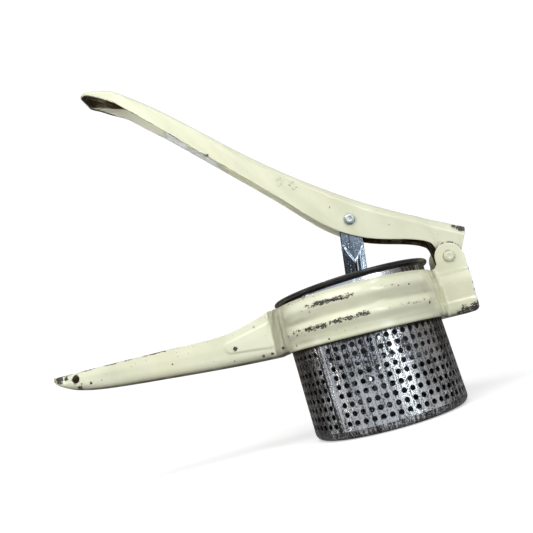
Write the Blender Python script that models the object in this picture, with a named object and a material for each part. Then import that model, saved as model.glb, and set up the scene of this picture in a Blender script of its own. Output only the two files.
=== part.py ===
"""Potato ricer.

A perforated tin basket hangs in the collar of a pressed steel lower frame. A second pressed
handle turns on a rivet at the far end of that frame and drives a round plate down the basket.
The origin is the centre of the basket's underside, +Z is the basket's axis, the handles point
to -X and the hinge is at +X. The pose is half open.
"""

import math

import bmesh
import bpy
from mathutils import Vector

MM = 0.001

# Basket
BASKET_RADIUS = 47.0 * MM
BASKET_WALL = 0.6 * MM
PAN_HEIGHT = 4.6 * MM
PAN_CORNER = 4.2 * MM
PAN_LAP = 2.6 * MM
RIM_CENTRE_RADIUS = 48.3 * MM
RIM_CENTRE_HEIGHT = 85.6 * MM
RIM_TUBE_RADIUS = 1.3 * MM
RIM_SHEET = 0.4 * MM
RIM_WIRE_RADIUS = 0.6 * MM

# Lower frame, in its own level: x along it, z from the middle of the collar
FRAME_HEIGHT = 67.4 * MM
FRAME_TILT = math.radians(2.57)
SHEET = 0.7 * MM
COLLAR_RADIUS = 49.1 * MM
COLLAR_TOP = 13.7 * MM
COLLAR_BOTTOM = -14.4 * MM
COLLAR_BAND = 4.8 * MM
CREST_HEIGHT = 2.2 * MM
CRESTS = ((6.9 * MM, 5.8 * MM), (-4.6 * MM, 5.3 * MM))
CREST_END_LEFT = (44.0 * MM, 47.5 * MM)
CREST_END_RIGHT = (37.0 * MM, 43.5 * MM)
WEB_HOLE_RADIUS = 49.2 * MM
CHEEK_HALF_WIDTH = 12.0 * MM
CHEEK_BOTTOM = -16.0 * MM
CHEEK_FOOT = 0.8 * MM
CHEEK_STEP = (-8.2 * MM, -7.2 * MM)
CHEEK_TAPER = (2.0 * MM, 12.5 * MM)
EAR_HALF_WIDTH = 10.1 * MM
EAR_RADIUS = 8.4 * MM
EAR_CENTRE = (61.5 * MM, 19.7 * MM)
EAR_FILLET = 4.4 * MM
HINGE_END = 70.4 * MM
HINGE_END_LEAN = 1.0 * MM
HINGE_CORNER = 2.5 * MM
HANDLE_TOP_PULL = 1.4 * MM
HANG_HOLE = (-183.6 * MM, 1.0 * MM)
HANG_HOLE_RADIUS = 2.8 * MM

# Stations of the lower handle from its tip: x, top edge, underside, half width
LOWER_HANDLE = (
    (-202.0, 5.6, 2.6, 1.6),
    (-199.5, 5.2, 0.6, 4.6),
    (-194.0, 5.0, -2.2, 7.8),
    (-184.0, 4.9, -6.0, 10.6),
    (-165.0, 5.0, -9.2, 12.0),
    (-125.0, 5.1, -12.2, 12.2),
    (-90.0, 5.1, -14.4, 12.2),
    (-72.0, 7.8, -15.2, 12.6),
    (-54.0, 13.0, -15.7, 14.0),
)

# Hinge and lever, about the pivot at rest
PIVOT = Vector((62.3, 0.0, 84.3)) * MM
PLUNGER_PIN = Vector((-50.4, 0.0, 40.8)) * MM
LUG_HALF_WIDTH = 8.9 * MM
PIN_HALF_WIDTH = 8.1 * MM

# Stations of the upper handle from its tip: ridge x z, lower edge x z, half width
UPPER_HANDLE = (
    (-201.6, 178.9, -200.9, 177.9, 8.0),
    (-201.0, 181.2, -198.9, 177.4, 10.6),
    (-197.0, 182.6, -195.6, 176.4, 12.6),
    (-191.4, 181.9, -188.5, 171.9, 14.0),
    (-183.0, 179.2, -178.0, 165.0, 14.0),
    (-176.0, 175.5, -169.3, 156.1, 13.3),
    (-158.0, 161.0, -150.2, 136.0, 10.4),
    (-140.0, 143.6, -131.0, 114.6, 8.9),
    (-103.0, 105.4, -94.0, 73.9, 8.2),
    (-72.0, 77.0, -66.0, 42.0, 8.1),
    (-42.0, 53.2, -44.0, 26.6, 8.1),
    (-18.0, 37.0, -17.8, 17.2, 8.7),
)
# The lug at its back end: ridge x z, lower edge x z
LUG = (
    (-9.5, 32.0, -9.0, 12.9),
    (-6.0, 29.6, -6.0, 8.8),
    (-1.5, 26.9, -5.0, -2.8),
    (4.0, 23.9, 0.0, -7.4),
    (10.0, 20.3, 5.4, -5.2),
    (16.8, 16.6, 8.2, 1.2),
)
ARCH_RADIUS = 7.0 * MM

# Plunger, about its rivet: the strap hangs down its own -Z
STRAP_LEAN = math.radians(9.25)
STRAP_LENGTH = 90.0 * MM
STRAP_HALF_WIDTH = 6.4 * MM
STRAP_HALF_SPAN = 6.6 * MM
STRAP_SHEET = 1.0 * MM
STRAP_BEND = 3.0 * MM
PLATE_RADIUS = 43.5 * MM
PLATE_SHEET = 0.7 * MM
PLATE_EDGE = 3.6 * MM
PLATE_CORNER = 2.0 * MM
PLATE_BEAD = (26.0 * MM, 31.0 * MM, 0.9 * MM)
PLATE_RIVET_X = 4.0 * MM

# Rivets, tubes and the room between pieces
GAP = 0.3 * MM
PIVOT_SHANK = 2.6 * MM
PIVOT_HEAD = 3.3 * MM
PLUNGER_SHANK = 2.2 * MM
PLUNGER_HEAD = 3.6 * MM
PLATE_SHANK = 1.5 * MM
PLATE_HEAD = 2.5 * MM
HEAD_HEIGHT = 1.7 * MM
TUBE_WALL = 1.0 * MM

# The strip inside the collar at the hinge end
BRIDGE_RADIUS = 48.12 * MM
BRIDGE_SHEET = 0.4 * MM
BRIDGE_HALF_ANGLE = math.radians(35)
BRIDGE_HEIGHTS = (-9.0 * MM, 12.0 * MM)

ROUND_STEPS = 48
SMALL_STEPS = 16


def clear_scene():
    for obj in list(bpy.data.objects):
        bpy.data.objects.remove(obj, do_unlink=True)


def material(name, colour, roughness, metallic):
    mat = bpy.data.materials.new(name)
    mat.use_nodes = True
    shader = mat.node_tree.nodes["Principled BSDF"]
    shader.inputs["Base Color"].default_value = (*colour, 1.0)
    shader.inputs["Roughness"].default_value = roughness
    shader.inputs["Metallic"].default_value = metallic
    return mat


def add_empty(name, location, tilt=0.0):
    """An axis that pieces hang on; tilt turns it about +Y."""
    empty = bpy.data.objects.new(name, None)
    empty.location = location
    empty.rotation_euler = (0.0, tilt, 0.0)
    bpy.context.collection.objects.link(empty)
    return empty


def add_piece(name, bm, mat, parent=None):
    mesh = bpy.data.meshes.new(name)
    bm.to_mesh(mesh)
    bm.free()
    mesh.materials.append(mat)
    mesh.shade_smooth()
    mesh.set_sharp_from_angle(angle=math.radians(40))
    obj = bpy.data.objects.new(name, mesh)
    obj.parent = parent
    bpy.context.collection.objects.link(obj)
    return obj


def smoothstep(low, high, value):
    t = min(max((value - low) / (high - low), 0.0), 1.0)
    return t * t * (3.0 - 2.0 * t)


def smooth_max(a, b, blend):
    return 0.5 * (a + b + math.sqrt((a - b) ** 2 + blend * blend))


def through_stations(stations, steps):
    """Rows on a smooth curve through all stations, steps of them to each gap."""
    rows = []
    last = len(stations) - 1
    for i in range(last):
        p0 = stations[max(i - 1, 0)]
        p1, p2 = stations[i], stations[i + 1]
        p3 = stations[min(i + 2, last)]
        for k in range(steps):
            t = k / steps
            rows.append([
                0.5 * (2 * b + (c - a) * t + (2 * a - 5 * b + 4 * c - d) * t * t
                       + (3 * b - a - 3 * c + d) * t ** 3)
                for a, b, c, d in zip(p0, p1, p2, p3)])
    rows.append(list(stations[last]))
    return rows


def sheet_piece(name, columns, thickness, mat, parent):
    """Pressed sheet: a grid of points, with None where the sheet has an opening.

    The grid is the outer face; the thickness goes inwards from it.
    """
    bm = bmesh.new()
    grid = [[None if p is None else bm.verts.new(p) for p in column] for column in columns]
    for left, right in zip(grid, grid[1:]):
        for k in range(len(left) - 1):
            corners = (left[k], right[k], right[k + 1], left[k + 1])
            if all(corners):
                bm.faces.new(corners)
    obj = add_piece(name, bm, mat, parent)
    solid = obj.modifiers.new("sheet", 'SOLIDIFY')
    solid.thickness = thickness
    solid.offset = -1.0
    solid.use_even_offset = True
    return obj


def turned_piece(name, outline, steps, mat, parent=None, along_y=False):
    """A solid of revolution from a closed outline of (radius, height) points."""
    bm = bmesh.new()
    if along_y:
        verts = [bm.verts.new((r, h, 0.0)) for r, h in outline]
        axis = (0.0, 1.0, 0.0)
    else:
        verts = [bm.verts.new((r, 0.0, h)) for r, h in outline]
        axis = (0.0, 0.0, 1.0)
    closed = outline[0][0] > 0.0
    pairs = list(zip(verts, verts[1:])) + ([(verts[-1], verts[0])] if closed else [])
    edges = [bm.edges.new(pair) for pair in pairs]
    bmesh.ops.spin(bm, geom=verts + edges, cent=(0.0, 0.0, 0.0), axis=axis,
                   angle=2.0 * math.pi, steps=steps, use_merge=True)
    bmesh.ops.remove_doubles(bm, verts=bm.verts, dist=1e-6)
    bmesh.ops.recalc_face_normals(bm, faces=bm.faces)
    return add_piece(name, bm, mat, parent)


def cut_hole(obj, name, centre, radius, length, along_y=True):
    """A round hole; the cutter shares the piece's parent, so centre is in its frame."""
    bm = bmesh.new()
    bmesh.ops.create_cone(bm, cap_ends=True, segments=SMALL_STEPS, radius1=radius,
                          radius2=radius, depth=length)
    mesh = bpy.data.meshes.new(name)
    bm.to_mesh(mesh)
    bm.free()
    cutter = bpy.data.objects.new(name, mesh)
    cutter.parent = obj.parent
    cutter.location = centre
    if along_y:
        cutter.rotation_euler = (math.pi / 2.0, 0.0, 0.0)
    cutter.hide_render = True
    cutter.display_type = 'WIRE'
    bpy.context.collection.objects.link(cutter)
    cut = obj.modifiers.new(name, 'BOOLEAN')
    cut.operation = 'DIFFERENCE'
    cut.object = cutter


def arc_points(centre, radius, start, end, steps):
    """Points on an arc in (radius, height) terms, angles in degrees, both ends included."""
    angles = [math.radians(start + (end - start) * k / steps) for k in range(steps + 1)]
    return [(centre[0] + radius * math.cos(a), centre[1] + radius * math.sin(a)) for a in angles]


# ---------------------------------------------------------------- lower frame

def crest(z):
    """How far the two rings round the collar stand out at height z."""
    total = 0.0
    for middle, half in CRESTS:
        if abs(z - middle) < half:
            total += CREST_HEIGHT * math.cos(0.5 * math.pi * (z - middle) / half) ** 2
    return total


def frame_flank(x, z, handle_half):
    """Half width of the frame at x and z: handle, collar or cheek, blended where they meet."""
    ends = CREST_END_LEFT if x < 0.0 else CREST_END_RIGHT
    reach = COLLAR_RADIUS + crest(z) * (1.0 - smoothstep(*ends, abs(x)))
    collar = math.sqrt(max(reach * reach - x * x, 0.0))
    if x < 0.0:
        side = handle_half
    else:
        side = CHEEK_HALF_WIDTH + CHEEK_FOOT * (1.0 - smoothstep(*CHEEK_STEP, z))
        side -= (CHEEK_HALF_WIDTH - EAR_HALF_WIDTH) * smoothstep(*CHEEK_TAPER, z)
    return smooth_max(collar, side, 2.0 * MM)


def hinge_end(x, z):
    """x drawn in near the hinge end, which leans towards its foot and rounds its corner."""
    start = EAR_CENTRE[0]
    if x <= start:
        return x
    limit = HINGE_END - HINGE_END_LEAN * smoothstep(10.0 * MM, CHEEK_BOTTOM, z)
    drop = min(max(CHEEK_BOTTOM + HINGE_CORNER - z, 0.0), HINGE_CORNER)
    limit -= HINGE_CORNER - math.sqrt(HINGE_CORNER ** 2 - drop ** 2)
    return start + (x - start) * (limit - start) / (HINGE_END - start)


def frame_top(x):
    """Top edge over the collar and the cheeks, with the ear round the pivot."""
    fillet_start = EAR_CENTRE[0] - EAR_RADIUS - EAR_FILLET
    if x <= fillet_start:
        return COLLAR_TOP
    if x < EAR_CENTRE[0] - EAR_RADIUS:
        return COLLAR_TOP + EAR_FILLET - math.sqrt(EAR_FILLET ** 2 - (x - fillet_start) ** 2)
    return EAR_CENTRE[1] + math.sqrt(max(EAR_RADIUS ** 2 - (x - EAR_CENTRE[0]) ** 2, 0.0))


def frame_stations():
    """(x, top, bottom, handle half width) along the frame, tip to hinge."""
    stations = [[v * MM for v in row] for row in through_stations(LOWER_HANDLE, 3)]
    near_collar = stations[-1]
    for x in (-51.5, -49.5, -48.0, -46.8):
        share = smoothstep(-54.0, -46.0, x)
        top = near_collar[1] + (COLLAR_TOP - near_collar[1]) * share
        bottom = near_collar[2] + (COLLAR_BOTTOM - near_collar[2]) * share
        stations.append([x * MM, top, bottom, near_collar[3]])
    for degrees in range(156, 20, -12):
        x = COLLAR_RADIUS * math.cos(math.radians(degrees))
        stations.append([x, COLLAR_TOP, COLLAR_BOTTOM, near_collar[3]])
    ear = EAR_CENTRE[0] / MM
    for x in (46.8, 48.2, 49.6, 51.4, 52.7, 53.2, 54.9, 57.8, ear, 65.2, 68.0, 69.5, 70.4):
        bottom = COLLAR_BOTTOM + (CHEEK_BOTTOM - COLLAR_BOTTOM) * smoothstep(46.0, 51.0, x)
        stations.append([x * MM, frame_top(x * MM), bottom, CHEEK_HALF_WIDTH])
    return stations


def frame_column(x, top, bottom, half):
    """One cross-section, centre line to top edge: web, rounded corner, then flank."""
    away = smoothstep(43.0 * MM, 47.5 * MM, abs(x))
    radius = 3.5 * MM if x > 0.0 else min(6.0 * MM, 0.6 * half, 0.45 * (top - bottom))
    corner_height = COLLAR_BAND + (radius - COLLAR_BAND) * away
    corner = []
    for degrees in (0, 30, 60, 90):
        a = math.radians(degrees)
        rise = (1.0 - away) * degrees / 90.0 + away * (1.0 - math.cos(a))
        z = bottom + corner_height * rise
        y = frame_flank(x, z, half) - away * radius * (1.0 - math.sin(a))
        corner.append((x, y, z))
    start = bottom + corner_height
    flank = []
    loose = smoothstep(-52.0 * MM, -66.0 * MM, x) * min(1.0, half / (8.0 * MM))
    for share in (0.1, 0.2, 0.33, 0.46, 0.58, 0.71, 0.86, 1.0):
        z = start + share * (top - start)
        pull = HANDLE_TOP_PULL * loose * smoothstep(0.35, 1.1, share)
        flank.append((x, frame_flank(x, z, half - pull), z))
    if abs(x) < 46.0 * MM:
        return [None, None] + corner + flank
    web = [(x, 0.0, bottom), (x, 0.5 * corner[0][1], bottom)]
    if abs(x) < 47.0 * MM:
        hole = [math.copysign(math.sqrt(WEB_HOLE_RADIUS ** 2 - y * y), x) for _, y, _ in web]
        web = [(hx, y, z) for hx, (_, y, z) in zip(hole, web)]
    return [(hinge_end(px, pz), y, pz) for px, y, pz in web + corner + flank]


def mirrored_column(column):
    """The whole cross-section: far side down to the centre line and up the near side."""
    far = [None if p is None else (p[0], p[1], p[2]) for p in reversed(column[1:])]
    near = [None if p is None else (p[0], -p[1], p[2]) for p in column]
    return far + near


def make_lower_frame(parent, enamel):
    columns = [mirrored_column(frame_column(*row)) for row in frame_stations()]
    frame = sheet_piece("lower_frame", columns, SHEET, enamel, parent)
    ear = (EAR_CENTRE[0], 0.0, EAR_CENTRE[1])
    cut_hole(frame, "cut_ear_holes", ear, PIVOT_SHANK + GAP, 40.0 * MM)
    hang = (HANG_HOLE[0], 0.0, HANG_HOLE[1])
    cut_hole(frame, "cut_hang_hole", hang, HANG_HOLE_RADIUS, 40.0 * MM)


def make_collar_bridge(parent, enamel):
    columns = []
    for k in range(13):
        a = BRIDGE_HALF_ANGLE * (k / 6.0 - 1.0)
        x, y = BRIDGE_RADIUS * math.cos(a), BRIDGE_RADIUS * math.sin(a)
        columns.append([(x, y, z) for z in BRIDGE_HEIGHTS])
    sheet_piece("collar_bridge", columns, BRIDGE_SHEET, enamel, parent)


# --------------------------------------------------------------------- basket

def make_basket(tin, dark_steel):
    inner = BASKET_RADIUS - BASKET_WALL
    centre = (RIM_CENTRE_RADIUS, RIM_CENTRE_HEIGHT)
    bead = RIM_TUBE_RADIUS - RIM_SHEET
    outline = [(BASKET_RADIUS, PAN_HEIGHT + GAP)]
    outline += [(BASKET_RADIUS, RIM_CENTRE_HEIGHT - 2.2 * MM)]
    outline += arc_points(centre, bead, 200, -60, 8)
    outline += arc_points(centre, RIM_TUBE_RADIUS, -60, 180, 9)
    outline += [(inner, RIM_CENTRE_HEIGHT - 2.2 * MM), (inner, PAN_HEIGHT + GAP)]
    turned_piece("basket_wall", outline, ROUND_STEPS, tin)

    wire = arc_points(centre, RIM_WIRE_RADIUS, 0, 315, 7)
    turned_piece("rim_wire", wire, ROUND_STEPS, dark_steel)

    bend = (BASKET_RADIUS - PAN_CORNER, PAN_CORNER)
    lap = inner - GAP
    top = PAN_HEIGHT + PAN_LAP
    pan = [(0.0, 0.0)] + arc_points(bend, PAN_CORNER, -90, 0, 4) + [(BASKET_RADIUS, PAN_HEIGHT)]
    pan += [(lap, PAN_HEIGHT), (lap, top), (lap - BASKET_WALL, top)]
    pan += [(lap - BASKET_WALL, PAN_CORNER + BASKET_WALL)]
    pan += [(bend[0] - BASKET_WALL, BASKET_WALL), (0.0, BASKET_WALL)]
    turned_piece("basket_bottom", pan, ROUND_STEPS, tin)


# --------------------------------------------------------------------- handle

def handle_column(ridge, edge, half):
    """One cross-section of the channel, from its lower edge up and over to the ridge."""
    depth = (ridge - edge).length
    corner = min(ARCH_RADIUS, 0.75 * depth, half)
    straight = 1.0 - corner / depth
    shares = [(half, 0.0), (half, 0.5 * straight), (half, straight)]
    for degrees in (25, 50, 75, 90):
        a = math.radians(degrees)
        y = half * math.cos(a) ** 0.7
        shares.append((y, straight + (1.0 - straight) * math.sin(a) ** 0.85))
    points = [edge.lerp(ridge, share) for _, share in shares]
    return [(p.x, half_here, p.z) for p, (half_here, _) in zip(points, shares)]


def make_upper_handle(parent, enamel):
    rows = through_stations(UPPER_HANDLE, 3)
    rows += [(*row, LUG_HALF_WIDTH / MM) for row in LUG]
    columns = []
    for rx, rz, ex, ez, half in rows:
        ridge, edge = Vector((rx, 0.0, rz)) * MM, Vector((ex, 0.0, ez)) * MM
        far = handle_column(ridge, edge, half * MM)
        near = [(x, -y, z) for x, y, z in far[:-1]]
        columns.append(near + far[::-1])
    handle = sheet_piece("upper_handle", columns, SHEET, enamel, parent)
    cut_hole(handle, "cut_lug_holes", (0.0, 0.0, 0.0), PIVOT_SHANK + GAP, 40.0 * MM)
    cut_hole(handle, "cut_pin_holes", PLUNGER_PIN, PLUNGER_SHANK + GAP, 40.0 * MM)


# ------------------------------------------------------------- rivets and tubes

def rivet_outline(shank, head, half_span):
    """A rivet along its axis, with a low domed head outside each end of the span."""
    dome = [(0.0, HEAD_HEIGHT), (0.5 * head, 0.88 * HEAD_HEIGHT), (0.85 * head, 0.52 * HEAD_HEIGHT),
            (head, 0.18 * HEAD_HEIGHT), (head, 0.0), (shank, 0.0)]
    start = half_span + GAP
    upper = [(r, start + h) for r, h in dome]
    lower = [(r, -start - h) for r, h in reversed(dome)]
    return upper + lower


def tube_outline(bore, half_length):
    outer = bore + TUBE_WALL
    return [(outer, -half_length), (outer, half_length), (bore, half_length), (bore, -half_length)]


# -------------------------------------------------------------------- plunger

def make_strap(parent, tin):
    """A strap bent to a U: two legs with round ends, joined under the plate rivets."""
    bottom = -STRAP_LENGTH + PLATE_SHEET + GAP
    columns = []
    for k in range(10):
        x = -STRAP_HALF_WIDTH * math.cos(math.pi * k / 9.0)
        round_end = math.sqrt(max(STRAP_HALF_WIDTH ** 2 - x * x, 0.0))
        leg = [(STRAP_HALF_SPAN, round_end), (STRAP_HALF_SPAN, -10.0 * MM)]
        leg += [(STRAP_HALF_SPAN, -45.0 * MM)]
        bend = (STRAP_HALF_SPAN - STRAP_BEND, bottom + STRAP_BEND)
        leg += arc_points(bend, STRAP_BEND, 0, -90, 4)
        far = [(x, y, z) for y, z in leg]
        near = [(x, -y, z) for y, z in reversed(leg)]
        columns.append(far + near)
    strap = sheet_piece("plunger_strap", columns, STRAP_SHEET, tin, parent)
    cut_hole(strap, "cut_strap_holes", (0.0, 0.0, 0.0), PLUNGER_SHANK + GAP, 40.0 * MM)
    return strap


def make_plate(parent, tin):
    """A round plate with a raised bead and a turned-up edge."""
    low, high = -STRAP_LENGTH, -STRAP_LENGTH + PLATE_SHEET
    bead_in, bead_out, rise = PLATE_BEAD
    bend = (PLATE_RADIUS - PLATE_CORNER, low + PLATE_CORNER)
    underside = [(0.0, low), (bead_in, low), (bead_in + 1.5 * MM, low + rise)]
    underside += [(bead_out - 1.5 * MM, low + rise), (bead_out, low)]
    edge = arc_points(bend, PLATE_CORNER, -90, 0, 3) + [(PLATE_RADIUS, low + PLATE_EDGE)]
    inside = [(PLATE_RADIUS - PLATE_SHEET, low + PLATE_EDGE)]
    inside += arc_points(bend, PLATE_CORNER - PLATE_SHEET, 0, -90, 2)
    top = [(r, z + PLATE_SHEET) for r, z in reversed(underside)]
    plate = turned_piece("press_plate", underside + edge + inside + top, ROUND_STEPS, tin, parent)
    return plate, high


def make_plunger(parent, tin, steel):
    strap = make_strap(parent, tin)
    plate, plate_top = make_plate(parent, tin)
    half_span = 0.5 * (PLATE_SHEET + GAP + STRAP_SHEET)
    middle = plate_top - PLATE_SHEET + half_span
    for number, side in ((1, -1.0), (2, 1.0)):
        name = f"plate_rivet_{number}"
        place = (side * PLATE_RIVET_X, 0.0, middle)
        for piece in (strap, plate):
            cut_hole(piece, f"cut_{piece.name}_{number}", place, PLATE_SHANK + GAP,
                     8.0 * MM, along_y=False)
        outline = rivet_outline(PLATE_SHANK, PLATE_HEAD, half_span)
        rivet = turned_piece(name, outline, SMALL_STEPS, steel, parent)
        rivet.location = place


def make_hinge(pivot, pin, enamel, steel):
    """The two long rivets across the frame and the lever, and the tubes round them."""
    outline = rivet_outline(PIVOT_SHANK, PIVOT_HEAD, EAR_HALF_WIDTH)
    turned_piece("pivot_rivet", outline, SMALL_STEPS, enamel, pivot, along_y=True)
    outline = tube_outline(PIVOT_SHANK + GAP, LUG_HALF_WIDTH - SHEET - GAP)
    turned_piece("pivot_spacer", outline, SMALL_STEPS, steel, pivot, along_y=True)
    outline = rivet_outline(PLUNGER_SHANK, PLUNGER_HEAD, PIN_HALF_WIDTH)
    turned_piece("plunger_rivet", outline, SMALL_STEPS, steel, pin, along_y=True)
    outline = tube_outline(PLUNGER_SHANK + GAP, STRAP_HALF_SPAN - STRAP_SHEET - GAP)
    turned_piece("plunger_spacer", outline, SMALL_STEPS, steel, pin, along_y=True)


def main():
    clear_scene()
    enamel = material("cream_enamel", (0.72, 0.72, 0.54), 0.28, 0.0)
    tin = material("worn_tin", (0.42, 0.42, 0.43), 0.38, 1.0)
    steel = material("rivet_steel", (0.60, 0.61, 0.60), 0.35, 1.0)
    dark_steel = material("rim_steel", (0.06, 0.06, 0.06), 0.40, 1.0)

    level = add_empty("axis_frame_level", (0.0, 0.0, FRAME_HEIGHT), FRAME_TILT)
    pivot = add_empty("axis_handle_pivot", PIVOT)
    pin = add_empty("axis_plunger_pin", PIVOT + PLUNGER_PIN)
    swing = add_empty("axis_plunger_swing", PIVOT + PLUNGER_PIN, STRAP_LEAN)

    make_lower_frame(level, enamel)
    make_collar_bridge(level, enamel)
    make_basket(tin, dark_steel)
    make_upper_handle(pivot, enamel)
    make_plunger(swing, tin, steel)
    make_hinge(pivot, pin, enamel, steel)


main()
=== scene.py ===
"""Potato ricer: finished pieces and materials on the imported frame.

The pieces are built in mm and brought to metres when they are finished; the lights, the camera
and the floor are in metres. The origin is the centre of the basket's underside, +Z is the
basket's axis, the handles point to -X and the hinge is at +X.
"""

import random
from math import (asin, atan2, ceil, copysign, cos, degrees, exp, hypot, pi, radians, sin,
                  sqrt)

import bmesh
import bpy
from mathutils import Matrix, Vector, noise
from mathutils.geometry import delaunay_2d_cdt


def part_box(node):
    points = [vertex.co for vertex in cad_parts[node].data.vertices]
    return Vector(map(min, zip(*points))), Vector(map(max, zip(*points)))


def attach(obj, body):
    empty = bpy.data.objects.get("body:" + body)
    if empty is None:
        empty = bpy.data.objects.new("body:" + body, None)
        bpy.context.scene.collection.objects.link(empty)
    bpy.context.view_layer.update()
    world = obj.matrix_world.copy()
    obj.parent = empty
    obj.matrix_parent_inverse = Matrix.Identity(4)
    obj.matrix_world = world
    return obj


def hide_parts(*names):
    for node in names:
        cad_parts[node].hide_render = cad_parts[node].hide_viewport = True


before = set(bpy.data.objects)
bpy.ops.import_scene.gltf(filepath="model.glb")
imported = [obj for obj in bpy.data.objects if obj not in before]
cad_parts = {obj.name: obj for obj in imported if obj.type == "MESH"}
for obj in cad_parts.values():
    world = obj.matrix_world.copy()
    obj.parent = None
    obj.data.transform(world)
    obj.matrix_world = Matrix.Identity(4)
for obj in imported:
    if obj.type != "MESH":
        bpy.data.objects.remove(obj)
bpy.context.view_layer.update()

MM = 0.001


def box_middle(node):
    low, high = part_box(node)
    return 0.5 * (low + high) / MM


# Places read from the frame. These and all sizes up to the scene section are in mm
PIVOT = box_middle("pivot_rivet")
PIN = box_middle("plunger_rivet")

# Basket
BASKET_RADIUS = 47.0
BASKET_WALL = 0.6
PAN_HEIGHT = 4.6
PAN_CORNER = 4.2
PAN_LAP = 2.6
PAN_MARGIN = 3.4
PAN_SIDES = 120
PAN_HOLE_SIDES = 12
PAN_DENT = (285.0, 6.0)    # middle and half width, in degrees
RIM_CENTRE_RADIUS = 48.3
RIM_CENTRE_HEIGHT = 85.6
RIM_TUBE_RADIUS = 1.3
RIM_SIDES = 144
HOLE_RADIUS = 1.58
HOLE_ROWS = 9
HOLE_FIRST = 8.3
HOLE_PITCH = 5.125
HOLE_COLUMNS = 60
SEAM_ANGLE = radians(-38.55)

# Lower frame, in its own level
FRAME_HEIGHT = 67.4
FRAME_TILT = radians(2.57)
SHEET = 0.7
COLLAR_RADIUS = 49.1
COLLAR_TOP = 13.7
COLLAR_BOTTOM = -14.4
COLLAR_BAND = 4.8
CREST_HEIGHT = 2.2
CRESTS = ((6.9, 5.8), (-4.6, 5.3))
CREST_END_LEFT = (44.0, 47.5)
CREST_END_RIGHT = (37.0, 43.5)
WEB_HOLE_RADIUS = 49.2
WEB_BLEND = (46.0, 52.0)
CHEEK_START = 45.4
CHEEK_HALF_WIDTH = 12.0
CHEEK_BOTTOM = -16.0
CHEEK_STEP = (-8.2, -7.2)
CHEEK_TAPER = (2.0, 12.5)
EAR_STEP = (9.2, 10.1)
EAR_STEP_RISE = 0.30
COLLAR_BLEND = 2.0
FOLDS = (-40.0, 46.0)
CORNER_FADE = (43.0, 47.5)
CORNER_RADIUS = 3.5
HANDLE_CORNER_RADIUS = 6.0
TOP_PULL_FADE = (-52.0, -66.0)
TOP_PULL_WIDTH = 8.0
STATION_STEP = 0.65
COLLAR_STEPS = [160.0 - 1.4 * k for k in range(1, 96)]
COLLAR_FADE = (-54.0, -46.0)
CHEEK_BOTTOM_FADE = (46.0, 51.0)
HINGE_END = 70.4
HINGE_END_LEAN = 1.0
HINGE_CORNER = 2.5
HANDLE_TOP_PULL = 1.4
CHEEK_FOOT = 0.8
EAR_HALF_WIDTH = 10.1
EAR_RADIUS = 8.4
EAR_CENTRE = (61.5, 19.7)
EAR_FILLET = 4.4
HANG_HOLE = (-183.6, 1.0)
HANG_HOLE_RADIUS = 2.8
# Sections of the lower handle from its tip to the collar: x, top, bottom and half width (mm)
LOWER_HANDLE = (
    (-202.0, 5.6, 2.6, 1.6),
    (-199.5, 5.2, 0.6, 4.6),
    (-194.0, 5.0, -2.2, 7.8),
    (-184.0, 4.9, -6.0, 10.6),
    (-165.0, 5.0, -9.2, 12.0),
    (-125.0, 5.1, -12.2, 12.2),
    (-90.0, 5.1, -14.4, 12.2),
    (-72.0, 7.8, -15.2, 12.6),
    (-54.0, 13.0, -15.7, 14.0),
)

# Lever, about the pivot
PIN_HALF_WIDTH = 8.1
# Sections of the lever from its tip to the hinge: x and z of the ridge, x and z of the lower
# edge, and half width (mm)
UPPER_HANDLE = (
    (-201.6, 178.9, -200.9, 177.9, 8.0),
    (-201.0, 181.2, -198.9, 177.4, 10.6),
    (-197.0, 182.6, -195.6, 176.4, 12.6),
    (-191.4, 181.9, -188.5, 171.9, 14.0),
    (-183.0, 179.2, -178.0, 165.0, 14.0),
    (-176.0, 175.5, -169.3, 156.1, 13.3),
    (-158.0, 161.0, -150.2, 136.0, 10.4),
    (-140.0, 143.6, -131.0, 114.6, 8.9),
    (-103.0, 105.4, -94.0, 73.9, 8.2),
    (-72.0, 77.0, -66.0, 42.0, 8.1),
    (-42.0, 53.2, -44.0, 26.6, 8.1),
    (-18.0, 37.0, -17.8, 17.2, 8.7),
    (-9.5, 32.0, -9.0, 12.9, 8.9),
    (-6.0, 29.6, -6.0, 8.8, 8.9),
    (-1.5, 26.9, -5.0, -2.8, 8.9),
    (4.0, 23.9, 0.0, -7.4, 8.9),
    (10.0, 20.3, 5.4, -5.2, 8.9),
    (12.8, 18.8, 7.0, -0.9, 8.9),
    (16.8, 16.6, 8.2, 1.2, 8.9),
)
ARCH_RADIUS = 7.0

# Plunger, about its rivet
STRAP_LEAN = radians(9.25)
STRAP_LENGTH = 90.0
STRAP_HALF_WIDTH = 6.4
STRAP_HALF_SPAN = 6.6
STRAP_SHEET = 1.0
STRAP_BEND = 3.0
STRAP_COLUMNS = 45
STRAP_ROWS = 164
PLATE_RADIUS = 43.5
PLATE_SHEET = 0.7
PLATE_EDGE = 3.6
PLATE_CORNER = 2.0
PLATE_SIDES = 120

GAP = 0.3
PIVOT_SHANK = 2.6
PIVOT_HEAD = 3.3
PLUNGER_SHANK = 2.2
PLUNGER_HEAD = 3.6
HEAD_HEIGHT = 1.7
BRIDGE_RADIUS = 48.12
BRIDGE_SHEET = 0.4
BRIDGE_HALF_ANGLE = radians(35)
BRIDGE_HEIGHTS = (-9.0, 12.0)
BRIDGE_STEPS = 24

STILL = Matrix.Identity(4)
LEVEL = Matrix.Translation((0.0, 0.0, FRAME_HEIGHT)) @ Matrix.Rotation(FRAME_TILT, 4, 'Y')
LEVER = Matrix.Translation(PIVOT)
SWING = Matrix.Translation(PIN) @ Matrix.Rotation(STRAP_LEAN, 4, 'Y')


# ------------------------------------------------------------------ mesh tools

def ramp(low, high, value):
    """Smooth step from 0 at low to 1 at high (low may be above high)."""
    t = min(max((value - low) / (high - low), 0.0), 1.0)
    return t * t * (3.0 - 2.0 * t)


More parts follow.
